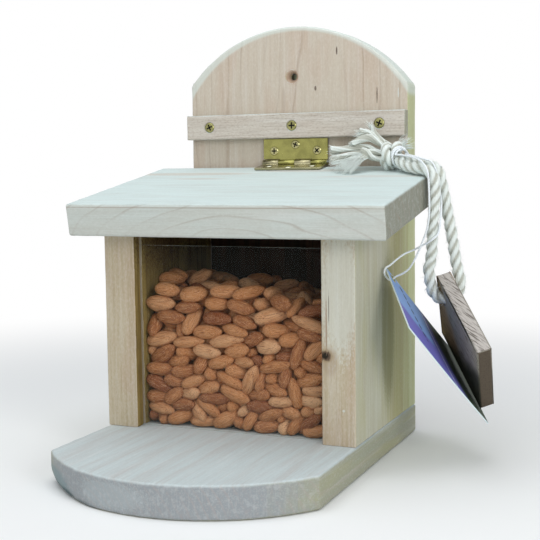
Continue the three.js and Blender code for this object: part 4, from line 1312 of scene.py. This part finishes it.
def fibre_piece(name, strokes, thickness):
    """Fibres along strokes, each a row of points in the feeder's millimetres, as one plain mesh."""
    places, lines = [], []
    for stroke in strokes:
        lines += [(len(places) + step, len(places) + step + 1) for step in range(len(stroke) - 1)]
        places += [tuple(place * MM) for place in stroke]
    data = bpy.data.meshes.new(name)
    data.from_pydata(places, lines, [])
    made = bpy.data.objects.new(name, data)
    bpy.context.scene.collection.objects.link(made)
    with_nodes(made, fibre_tree(), **{"Thickness": thickness, "Tip share": 0.4, "Finish": shared_cotton()})
    return stands_for(made, "rope_set", "cotton")


def make_fibres():
    """The frayed tufts in which the rope's strands end."""
    draw = np.random.default_rng(7)
    strokes = []
    share = np.linspace(0, 1, FIBRE_POINTS)[:, None]
    for start, end, start_spread, end_spread, count in FIBRE_BUNDLES:
        start, end = in_box(start), in_box(end)
        for _ in range(count):
            first = start + draw.normal(0, start_spread / 2, 3)
            last = first + (end - start) * draw.uniform(0.75, 1.1) + draw.normal(0, end_spread / 2, 3)
            sag = draw.normal(0, 0.35, 3) * np.linalg.norm(end - start) * 0.12
            strokes.append(first + (last - first) * share + sag * np.sin(share * math.pi * 1.4))
    return fibre_piece("loose_fibres", strokes, sizes().fibre)


FUZZ_COUNT, FUZZ_POINTS = 1200, 4
FUZZ_LENGTH = 1.5
FUZZ_THICKNESS_SHARE = 0.45


def make_fuzz(points, radius):
    """Short loose fibres that stand off the rope's yarns."""
    draw = np.random.default_rng(11)
    ahead, across, third = side_frames(points)
    spots = draw.integers(0, len(points), FUZZ_COUNT)
    share = np.linspace(0, 1, FUZZ_POINTS)[:, None]
    strokes = []
    for spot, turn in zip(spots, draw.uniform(0, 2 * math.pi, FUZZ_COUNT)):
        out = across[spot] * math.cos(turn) + third[spot] * math.sin(turn)
        beside = third[spot] * math.cos(turn) - across[spot] * math.sin(turn)
        lean = ahead[spot] * draw.normal(0, 0.8) + beside * draw.normal(0, 0.8)
        length = FUZZ_LENGTH * draw.uniform(0.5, 1.3)
        root = points[spot] + out * radius * 0.8
        strokes.append(root + length * (lean * share + out * np.sin(share * 2.3) * 0.7))
    return fibre_piece("rope_fuzz", strokes, sizes().fibre * FUZZ_THICKNESS_SHARE)


# Thread
THREAD_LAY, THREAD_LOBE_SHARE = 3.0, 0.8
THREAD_SIDES = 12


def smooth_thread():
    """Mercerised cotton thread: whiter than the rope, smooth, with a soft sheen and a fine slanted twist."""
    c = colours()
    material, tree, output = new_material("Smooth white thread")
    groove = add(tree, "ShaderNodeAttribute", attribute_name="groove").outputs["Fac"]
    place = add(tree, "ShaderNodeTexCoord").outputs["Object"]
    fluff = add(tree, "ShaderNodeTexNoise", {"Vector": place, "Scale": 2500.0})
    # Painted shade and dirt in the grooves of the thread's twist
    tone = painted(tree, c["thread"], [(groove, 0.05, 0.3, 0.7, c["cotton_shade"]), (fluff, 0.55, 0.8, 0.2, c["cotton_shade"])])
    bump = add(tree, "ShaderNodeBump", {"Height": fluff, "Strength": 0.2, "Distance": 0.1 * MM})
    shader = add(tree, "ShaderNodeBsdfPrincipled", {"Base Color": tone, "Roughness": 0.6, "Normal": bump})
    shader.inputs["Sheen Weight"].default_value = 0.2
    tree.links.new(shader.outputs[0], output.inputs[0])
    return material


def make_string():
    radius = sizes().string / 2 / MM
    points = smooth_route(in_hangings(STRING_ROUTE))
    mesh = bmesh.new()
    sweep(mesh, points, laid_outline(radius, THREAD_LAY, 2, THREAD_LOBE_SHARE), THREAD_SIDES)
    string = new_object("card_string", mesh, smooth_thread())
    return stands_for(string, "rope_set", "cotton", "tag_string"), points


NECK_CENTRE = (71.6, 70.8, 157.2)
NECK_RADIUS, NECK_RISE, NECK_TURNS = 5.4, 1.15, 2.6


NECK_AXIS = (0.75, -0.62, -0.22)
THREAD_KNOT = (72.4, 68.6, 161.6)
THREAD_KNOT_REACH = 0.75
THREAD_TAIL = (THREAD_KNOT, (74.0, 67.0, 162.2), (75.8, 66.0, 161.2))
THREAD_STEP = 0.4


def make_wraps():
    """The thread's turns round the knot's neck, with a small knot on top."""
    turn = np.array(Vector((0, 0, 1)).rotation_difference(Vector(NECK_AXIS)).to_matrix())
    angle = np.linspace(0, 2 * math.pi * NECK_TURNS, 150)
    reach = NECK_RADIUS * (1 + 0.1 * np.sin(angle * 0.7))
    rise = (angle / 2 / math.pi - NECK_TURNS / 2) * NECK_RISE
    flat = np.stack([reach * np.cos(angle), reach * 0.86 * np.sin(angle), rise], axis=1)
    loop = np.linspace(0, 4 * math.pi, 60)
    small = np.stack([np.cos(loop), np.sin(loop * 1.5), np.sin(loop)], axis=1) * THREAD_KNOT_REACH
    outline = laid_outline(sizes().string / 2 / MM, THREAD_LAY, 2, THREAD_LOBE_SHARE)
    mesh = bmesh.new()
    for points in (in_hangings(NECK_CENTRE) + flat @ turn.T, in_hangings(THREAD_KNOT) + small, in_hangings(THREAD_TAIL)):
        sweep(mesh, evenly(points, THREAD_STEP), outline, THREAD_SIDES)
    made = new_object("string_wraps", mesh, bpy.data.materials["Smooth white thread"])
    return stands_for(made, "rope_set", "cotton")


# Wooden tag
TAG_CORNER = (96.7, 50.6, 96.9)
TAG_ALONG = (0.5244, -0.5702, -0.6323)
TAG_ACROSS = (-0.1135, 0.6892, -0.7156)
TAG_NORMAL = (0.8439, 0.4471, 0.2967)
TAG_SLANT = math.radians(24)
TAG_PATCH_REACH = 14.0


def tag_wood():
    """Raw weathered wood: brown, grey and damp green in turn, its pores cut long on the edge and round at the end."""
    c = colours()
    material, tree, output = new_material("Raw weathered wood")
    place = add(tree, "ShaderNodeTexCoord").outputs["Object"]
    turn = plane_turn(TAG_ALONG, TAG_ACROSS, TAG_NORMAL)
    corner = [part * MM for part in in_hangings(TAG_CORNER)]
    inputs = {"Vector": place, "Location": corner, "Rotation": turn, "Scale": (MM,) * 3}
    tag = add(tree, "ShaderNodeMapping", inputs, vector_type="TEXTURE")
    slant = add(tree, "ShaderNodeMapping", {"Vector": tag, "Rotation": (0.0, TAG_SLANT, 0.0)})
    fields = {}
    for field, source, size in (
        ("patch", tag, (14, 11, 11)),
        ("streak", tag, (7.0, 1.1, 0.55)),
        ("fine", tag, (5.0, 0.35, 0.35)),
        ("slash", slant, (9.0, 1.4, 0.6)),
    ):
        near = add(tree, "ShaderNodeVectorMath", {0: source, 1: [1 / part for part in size]}, operation="MULTIPLY")
        fields[field] = add(tree, "ShaderNodeTexNoise", {"Vector": near, "Scale": 1.0, "Detail": 2.0})
    for field, direction in (("brown", (-0.9, 0.5, 0.0)), ("damp", (0.55, 0.85, 0.0))):
        slope = add(tree, "ShaderNodeVectorMath", {0: tag, 1: direction}, operation="DOT_PRODUCT").outputs["Value"]
        inputs = {0: fields["patch"], 1: TAG_PATCH_REACH, 2: slope}
        fields[field] = add(tree, "ShaderNodeMath", inputs, operation="MULTIPLY_ADD")
    facing = add(tree, "ShaderNodeAttribute", attribute_name="facing").outputs["Vector"]
    for field, axis in (("edge", TAG_ACROSS), ("end", TAG_ALONG)):
        dot = add(tree, "ShaderNodeVectorMath", {0: facing, 1: axis}, operation="DOT_PRODUCT").outputs["Value"]
        fields[field] = add(tree, "ShaderNodeMath", {0: dot}, operation="ABSOLUTE")
    dots = add(tree, "ShaderNodeVectorMath", {0: tag, 1: (0.0, 1 / 1.15, 1 / 0.95)}, operation="MULTIPLY")
    cells = add(tree, "ShaderNodeTexVoronoi", {"Vector": dots, "Scale": 1.0, "Randomness": 0.45})

    layers = [(fields["streak"], 0.52, 0.68, 0.7, c["tag_line"])]
    edge = painted(tree, c["tag_top"], [(fields["slash"], 0.48, 0.64, 0.8, c["tag_line"])])
    end = painted(tree, c["tag_end"], [(cells.outputs["Distance"], 0.36, 0.2, 0.85, c["tag_line"])])
    wood = painted(
        tree,
        c["tag_face"],
        [
            (fields["brown"], -3, 11, 0.9, c["tag_brown"]),
            (fields["damp"], 46, 58, 0.95, c["tag_damp"]),
            *layers,
            (fields["edge"], 0.6, 0.9, 1.0, edge),
            (fields["end"], 0.6, 0.9, 1.0, end),
            (fields["fine"], 0.45, 0.8, 0.35, c["tag_line"]),
        ],
    )
    bump = add(tree, "ShaderNodeBump", {"Height": fields["streak"], "Strength": 0.35, "Distance": 0.25 * MM}, invert=True)
    shader = add(tree, "ShaderNodeBsdfPrincipled", {"Base Color": wood, "Roughness": 0.78, "Normal": bump})
    shader.inputs["Specular IOR Level"].default_value = 0.25
    tree.links.new(shader.outputs[0], output.inputs[0])
    return material


def make_tag():
    mesh = merged_copy("wooden_tag")
    normal = Vector(TAG_NORMAL)

    def corner(edge):
        direction = (edge.verts[1].co - edge.verts[0].co).normalized()
        return abs(direction.dot(normal)) > 0.99

    round_edges(mesh, 1.6 * MM, picked=corner, shortest=5 * MM)
    round_edges(mesh, sizes().small_arris, 0.08 * MM, 3 * MM, clear_of_tag_hole, 0.4 * MM)
    return stands_for(board_object("tag_block", mesh, tag_wood()), "tag", "tag_wood", "wooden_tag")


def clear_of_tag_hole(edge):
    """Whether an edge of the tag is none of its hole's."""
    centre = Vector(in_hangings(TAG_CORNER)) + Vector(TAG_ALONG) * 7.4 + Vector(TAG_ACROSS) * 11.6
    middle = (edge.verts[0].co + edge.verts[1].co) / 2 / MM - centre
    flat = middle - Vector(TAG_NORMAL) * middle.dot(Vector(TAG_NORMAL))
    return flat.length > 5.5


# Card
CARD_CORNER = (71.6, 44.2, 100.9)
CARD_ACROSS = (0.4535, -0.7675, -0.4552)
CARD_ALONG = (0.3412, 0.6204, -0.7059)
CARD_NORMAL = (0.8236, 0.1647, 0.5428)
CARD_WIDTH, CARD_LENGTH, CARD_THICKNESS = 54.0, 79.0, 0.6
CARD_HOLE = (4.6, 5.4)
CARD_HOLE_RADIUS, CARD_RING_WIDTH = 1.8, 0.75
CARD_CELLS = (18, 26)
RING_SIDES = 32


def card_place(across, along, up):
    """A point of the card, with its slight bend, in the feeder's metres."""
    share = across / CARD_WIDTH
    bend = sizes().card_bend / MM * 4 * share * (1 - share) * (along / CARD_LENGTH) ** 1.2
    curl = 0.9 * (along / CARD_LENGTH) ** 3
    spot = Vector(in_hangings(CARD_CORNER)) + Vector(CARD_ACROSS) * across + Vector(CARD_ALONG) * along
    return (spot + Vector(CARD_NORMAL) * (up - bend * 0.6 + curl)) * MM


# A sprig of leaves printed across the card: where it starts, its direction, and its leaves, in millimetres
SPRIG_START, SPRIG_DIRECTION = (3.6, 12.2), (0.93, 0.368)
SPRIG_LENGTH, LEAF_LENGTH, LEAF_WIDTH = 37.0, 5.0, 1.5
CARD_RIM = 0.6


def printed_card():
    """Printed card: matt inks that fade from sky blue to purple and green, a plain pale back and white cut edges."""
    c = colours()
    material, tree, output = new_material("Printed card")
    flat = add(tree, "ShaderNodeAttribute", attribute_name="flat").outputs["Vector"]
    facing = add(tree, "ShaderNodeAttribute", attribute_name="facing").outputs["Vector"]
    side = add(tree, "ShaderNodeVectorMath", {0: facing, 1: CARD_NORMAL}, operation="DOT_PRODUCT").outputs["Value"]
    parts = add(tree, "ShaderNodeSeparateXYZ", {0: flat})
    across, along = parts.outputs["X"], parts.outputs["Y"]
    wave = add(tree, "ShaderNodeTexNoise", {"Vector": flat, "Scale": 0.05, "Detail": 1.0})
    fields = {}
    for field, base, slope in (("wavy_across", across, 8.0), ("wavy_along", along, 9.0)):
        fields[field] = add(tree, "ShaderNodeMath", {0: wave, 1: slope, 2: base}, operation="MULTIPLY_ADD")
    for field, slope in (("line", -0.24), ("foot", -0.35), ("stripe", -0.16)):
        fields[field] = add(tree, "ShaderNodeMath", {0: across, 1: slope, 2: along}, operation="MULTIPLY_ADD")
    for field, source, middle, half in (
        ("thin_line", fields["line"], 35.0, 0.5),
        ("thin_stripe", fields["stripe"], 71.3, 0.4),
        ("stripe_reach", across, 29.0, 8.0),
    ):
        fields[field] = add(tree, "ShaderNodeMath", {0: source, 1: middle, 2: half}, operation="COMPARE")
    inputs = {0: fields["thin_stripe"], 1: fields["stripe_reach"]}
    fields["thin_stripe"] = add(tree, "ShaderNodeMath", inputs, operation="MULTIPLY")

    (start_across, start_along), (ahead, aside) = SPRIG_START, SPRIG_DIRECTION
    moved = {0: flat, 1: (start_across, start_along, 0.0)}
    from_start = add(tree, "ShaderNodeVectorMath", moved, operation="SUBTRACT")
    for field, direction in (("beside", (-aside, ahead, 0.0)), ("ahead", (ahead, aside, 0.0))):
        inputs = {0: from_start, 1: direction}
        fields[field] = add(tree, "ShaderNodeVectorMath", inputs, operation="DOT_PRODUCT").outputs["Value"]
    turn = add(tree, "ShaderNodeMath", {0: fields["ahead"], 1: math.pi / LEAF_LENGTH}, operation="MULTIPLY")
    wide = add(tree, "ShaderNodeMath", {0: add(tree, "ShaderNodeMath", {0: turn}, operation="SINE")}, operation="ABSOLUTE")
    off = add(tree, "ShaderNodeMath", {0: fields["beside"]}, operation="ABSOLUTE")
    off = add(tree, "ShaderNodeMath", {0: off, 1: -1.0 / LEAF_WIDTH, 2: wide}, operation="MULTIPLY_ADD")
    inputs = {0: fields["ahead"], 1: SPRIG_LENGTH / 2, 2: SPRIG_LENGTH / 2}
    near = add(tree, "ShaderNodeMath", inputs, operation="COMPARE")
    sprig = add(tree, "ShaderNodeMath", {0: off, 1: near}, operation="MULTIPLY")

    print_layers = [
        (fields["wavy_across"], 33, 39, 1.0, c["card_dusk"]),
        (fields["wavy_along"], 36, 44, 1.0, c["card_dusk"]),
        (sprig, 0.0, 0.2, 0.9, c["card_sprig"]),
        (fields["thin_line"], 0.0, 1.0, 0.9, c["card_edge"]),
        (fields["foot"], 32, 44, 1.0, c["card_leaf"]),
        (fields["thin_stripe"], 0.0, 1.0, 0.9, c["card_sun"]),
    ]
    paper = painted(
        tree,
        c["card_edge"],
        [
            (side, 0.2, 0.8, 1.0, painted(tree, c["card_sky"], print_layers)),
            (across, CARD_RIM, CARD_RIM / 2, 1.0, c["card_edge"]),
            (across, CARD_WIDTH - CARD_RIM, CARD_WIDTH - CARD_RIM / 2, 1.0, c["card_edge"]),
            (along, CARD_RIM, CARD_RIM / 2, 1.0, c["card_edge"]),
        ],
    )
    fibres = add(tree, "ShaderNodeTexNoise", {"Vector": flat, "Scale": 2.0, "Detail": 4.0})
    bump = add(tree, "ShaderNodeBump", {"Height": fibres, "Strength": 0.12, "Distance": 0.05 * MM})
    rough = add(tree, "ShaderNodeMapRange", {"Value": fibres, "To Min": 0.55, "To Max": 0.75})
    shader = add(tree, "ShaderNodeBsdfPrincipled", {"Base Color": paper, "Roughness": rough, "Normal": bump})
    shader.inputs["Specular IOR Level"].default_value = 0.2
    tree.links.new(shader.outputs[0], output.inputs[0])
    return material


def make_card():
    mesh = bmesh.new()
    corners = [(0, 0), (CARD_WIDTH, 0), (CARD_WIDTH, CARD_LENGTH), (0, CARD_LENGTH)]
    outline = [mesh.verts.new((x * MM, y * MM, 0)) for x, y in corners]
    mesh.faces.new(outline)
    for axis, (size, cells) in enumerate(zip((CARD_WIDTH, CARD_LENGTH), CARD_CELLS)):
        for step in range(1, cells):
            spot, direction = [0, 0, 0], [0, 0, 0]
            spot[axis], direction[axis] = size * MM * step / cells, 1
            everything = [*mesh.verts, *mesh.edges, *mesh.faces]
            bmesh.ops.bisect_plane(mesh, geom=everything, plane_co=spot, plane_no=direction)
    made = new_object("card_blank", mesh)
    drill_mesh = bmesh.new()
    spot = Matrix.Translation((CARD_HOLE[0] * MM, CARD_HOLE[1] * MM, 0))
    radius, depth = CARD_HOLE_RADIUS * MM, 4 * CARD_THICKNESS * MM
    bmesh.ops.create_cone(
        drill_mesh, cap_ends=True, segments=RING_SIDES, radius1=radius, radius2=radius, depth=depth, matrix=spot
    )
    drill = new_object("card_drill", drill_mesh)
    solid = made.modifiers.new("Thickness", "SOLIDIFY")
    solid.thickness, solid.offset = CARD_THICKNESS * MM, -1
    cut = made.modifiers.new("Hole", "BOOLEAN")
    cut.object, cut.solver = drill, "EXACT"
    applied(made)
    bpy.data.objects.remove(drill)
    shape = bmesh.new()
    shape.from_mesh(made.data)
    bpy.data.objects.remove(made)
    old = shape.faces.layers.float_vector.get("facing")
    if old:
        shape.faces.layers.float_vector.remove(old)
    flat = shape.verts.layers.float_vector.new("flat")
    for vertex in shape.verts:
        across, along, up = (part / MM for part in vertex.co)
        vertex[flat] = (across, along, up)
        vertex.co = card_place(across, along, up)
    for edge in shape.edges:
        edge.smooth = edge.calc_face_angle(0) < SHARP_ANGLE
    stands_for(new_object("card_sheet", shape, printed_card()), "card", "printed_card", "card_tag")


def make_eyelet():
    """The thin brass ring pressed round the card's hole."""
    mesh = bmesh.new()
    inner, outer = CARD_HOLE_RADIUS - 0.1, CARD_HOLE_RADIUS + CARD_RING_WIDTH
    middle = (inner + outer) / 2
    profile = [(inner, -0.7), (inner, 0.1), (middle, 0.24), (outer, 0.03), (outer, -0.63), (middle, -0.84)]
    rows = []
    for radius, up in profile:
        turns = [2 * math.pi * step / RING_SIDES for step in range(RING_SIDES)]
        spots = [(CARD_HOLE[0] + radius * math.cos(turn), CARD_HOLE[1] + radius * math.sin(turn)) for turn in turns]
        rows.append([mesh.verts.new(card_place(*spot, up)) for spot in spots])
    for row, following in zip(rows, rows[1:] + rows[:1]):
        for place in range(RING_SIDES):
            after = (place + 1) % RING_SIDES
            mesh.faces.new((row[place], row[after], following[after], following[place]))
    bmesh.ops.recalc_face_normals(mesh, faces=mesh.faces)
    gold = plated("Brass-coloured eyelet", colours()["brass"], 0.3)
    stands_for(new_object("card_eyelet", mesh, gold), "card", "brass")


# Stage
FLOOR_REACH, FLOOR_FADE_START, FLOOR_FADE_END = 1.6, 0.22, 0.62
SKY_STRENGTH = 0.46
LAMPS = (
    # name, place, aim, size, power, colour
    ("Top softbox", (-0.10, -0.15, 0.95), (0.0, 0.0, 0.1), 0.9, 4.4, (0.96, 0.985, 1.0)),
    ("Front softbox", (0.05, -1.1, 0.62), (0.0, 0.0, 0.1), 0.7, 1.8, (1.0, 0.985, 0.96)),
    ("Right softbox", (0.85, -0.55, 0.42), (0.05, 0.0, 0.1), 0.45, 3.3, (1.0, 0.995, 0.985)),
)


def pale_floor():
    """Matt white board, which the camera sees fade into the white of the backdrop."""
    c = colours()
    material, tree, output = new_material("Matt white board")
    place = add(tree, "ShaderNodeTexCoord").outputs["Object"]
    reach = add(tree, "ShaderNodeVectorMath", {0: place}, operation="LENGTH").outputs["Value"]
    grain = add(tree, "ShaderNodeTexNoise", {"Vector": place, "Scale": 900.0, "Detail": 2.0})
    bump = add(tree, "ShaderNodeBump", {"Height": grain.outputs["Fac"], "Strength": 0.03, "Distance": 0.1 * MM})
    board = add(tree, "ShaderNodeBsdfDiffuse", {"Color": c["floor"], "Normal": bump})
    white = add(tree, "ShaderNodeEmission", {"Color": grey(1.0), "Strength": 1.0})
    limits = {"Value": reach, "From Min": FLOOR_FADE_START, "From Max": FLOOR_FADE_END}
    far = add(tree, "ShaderNodeMapRange", limits, interpolation_type="SMOOTHSTEP")
    rays = add(tree, "ShaderNodeLightPath")
    seen = add(tree, "ShaderNodeMath", {0: far, 1: rays.outputs["Is Camera Ray"]}, operation="MULTIPLY")
    mixed = add(tree, "ShaderNodeMixShader", {0: seen, 1: board, 2: white})
    tree.links.new(mixed.outputs[0], output.inputs[0])
    return material


def make_floor():
    mesh = bmesh.new()
    bmesh.ops.create_circle(mesh, cap_ends=True, segments=64, radius=FLOOR_REACH)
    floor = new_object("floor", mesh, pale_floor())
    floor.location.z = -0.1 * MM


def make_world():
    world = bpy.data.worlds.new("Soft sky")
    bpy.context.scene.world = world
    world.use_nodes = True
    tree = world.node_tree
    tree.nodes.clear()
    rays = add(tree, "ShaderNodeLightPath")
    seen = rays.outputs["Is Camera Ray"]
    for kind in ("Is Glossy Ray", "Is Transmission Ray"):
        seen = add(tree, "ShaderNodeMath", {0: seen, 1: rays.outputs[kind]}, operation="MAXIMUM")
    sky = add(tree, "ShaderNodeBackground", {"Color": (0.94, 0.97, 1.0, 1.0), "Strength": SKY_STRENGTH})
    white = add(tree, "ShaderNodeBackground", {"Color": grey(1.0), "Strength": 1.0})
    mixed = add(tree, "ShaderNodeMixShader", {0: seen, 1: sky, 2: white})
    add(tree, "ShaderNodeOutputWorld", {"Surface": mixed})


def make_lamps():
    for name, place, aim, size, power, colour in LAMPS:
        data = bpy.data.lights.new(name, "AREA")
        data.shape, data.size, data.energy, data.color = "DISK", size, power, colour
        lamp = bpy.data.objects.new(name, data)
        lamp.location = place
        lamp.rotation_euler = (Vector(aim) - Vector(place)).to_track_quat("-Z", "Y").to_euler()
        bpy.context.scene.collection.objects.link(lamp)


def make_camera():
    data = bpy.data.cameras.new("Camera")
    data.lens, data.sensor_width, data.clip_start = CAMERA_LENS, CAMERA_SENSOR, CAMERA_NEAR
    camera = bpy.data.objects.new("Camera", data)
    turn = Matrix((CAMERA_RIGHT, CAMERA_UP, [-part for part in CAMERA_VIEW])).transposed()
    camera.matrix_world = Matrix.Translation(CAMERA_PLACE) @ turn.to_4x4()
    bpy.context.scene.collection.objects.link(camera)
    bpy.context.scene.camera = camera


class FEEDER_OT_stage(bpy.types.Operator):
    """Adds the floor, the lamps, the sky and the camera"""

    bl_idname = "feeder.stage"
    bl_label = "Stage"

    def execute(self, context):
        context.scene.view_settings.view_transform = "Standard"
        make_camera()
        make_world()
        make_lamps()
        make_floor()
        return {"FINISHED"}


class FEEDER_OT_boards(bpy.types.Operator):
    """Makes the pine boards of the box"""

    bl_idname = "feeder.boards"
    bl_label = "Boards"

    def execute(self, context):
        make_base()
        make_sides()
        make_back()
        make_batten()
        return {"FINISHED"}


class FEEDER_OT_lid(bpy.types.Operator):
    """Makes the sloping lid"""

    bl_idname = "feeder.lid"
    bl_label = "Lid"

    def execute(self, context):
        make_lid()
        return {"FINISHED"}


class FEEDER_OT_hinge(bpy.types.Operator):
    """Makes the brass hinge"""

    bl_idname = "feeder.hinge"
    bl_label = "Hinge"

    def execute(self, context):
        make_hinge()
        return {"FINISHED"}


class FEEDER_OT_screws(bpy.types.Operator):
    """Makes every screw"""

    bl_idname = "feeder.screws"
    bl_label = "Screws"

    def execute(self, context):
        make_screws()
        return {"FINISHED"}


class FEEDER_OT_window(bpy.types.Operator):
    """Makes the clear sheet at the front"""

    bl_idname = "feeder.window"
    bl_label = "Window"

    def execute(self, context):
        make_window()
        return {"FINISHED"}


class FEEDER_OT_nuts(bpy.types.Operator):
    """Fills the box with nuts"""

    bl_idname = "feeder.nuts"
    bl_label = "Nuts"

    def execute(self, context):
        make_nuts()
        return {"FINISHED"}


class FEEDER_OT_rope(bpy.types.Operator):
    """Makes the rope with its knot and loose ends, and the string with its turns round the knot"""

    bl_idname = "feeder.rope"
    bl_label = "Rope and string"

    def execute(self, context):
        rope, points, fuzz = make_rope()
        on_rope = [fuzz, make_knot(), make_ends(), make_fibres()]
        string, points = make_string()
        wraps = make_wraps()
        return {"FINISHED"}


class FEEDER_OT_tag(bpy.types.Operator):
    """Makes the wooden tag"""

    bl_idname = "feeder.tag"
    bl_label = "Wooden tag"

    def execute(self, context):
        make_tag()
        return {"FINISHED"}


class FEEDER_OT_card(bpy.types.Operator):
    """Makes the printed card and its eyelet"""

    bl_idname = "feeder.card"
    bl_label = "Card"

    def execute(self, context):
        make_card()
        make_eyelet()
        return {"FINISHED"}


STEPS = ("stage", "rope", "boards", "lid", "hinge", "screws", "window", "nuts", "tag", "card")


class FEEDER_PT_panel(bpy.types.Panel):
    """Lists the feeder's pieces, sizes and colours"""

    bl_label = "Squirrel feeder box"
    bl_space_type = "VIEW_3D"
    bl_region_type = "UI"
    bl_category = "Feeder"

    def draw(self, context):
        for step in STEPS:
            self.layout.operator(f"feeder.{step}")
        for group in (context.scene.feeder_sizes, context.scene.feeder_colours):
            for name in type(group).__annotations__:
                self.layout.prop(group, name)


CLASSES = (
    FeederSizes,
    FeederColours,
    FEEDER_OT_stage,
    FEEDER_OT_boards,
    FEEDER_OT_lid,
    FEEDER_OT_hinge,
    FEEDER_OT_screws,
    FEEDER_OT_window,
    FEEDER_OT_nuts,
    FEEDER_OT_rope,
    FEEDER_OT_tag,
    FEEDER_OT_card,
    FEEDER_PT_panel,
)


def register():
    for made in CLASSES:
        bpy.utils.register_class(made)
    bpy.types.Scene.feeder_sizes = bpy.props.PointerProperty(type=FeederSizes)
    bpy.types.Scene.feeder_colours = bpy.props.PointerProperty(type=FeederColours)


def unregister():
    del bpy.types.Scene.feeder_colours
    del bpy.types.Scene.feeder_sizes
    for made in reversed(CLASSES):
        bpy.utils.unregister_class(made)


def main():
    register()
    for step in STEPS:
        getattr(bpy.ops.feeder, step)()


if __name__ == "__main__":
    main()
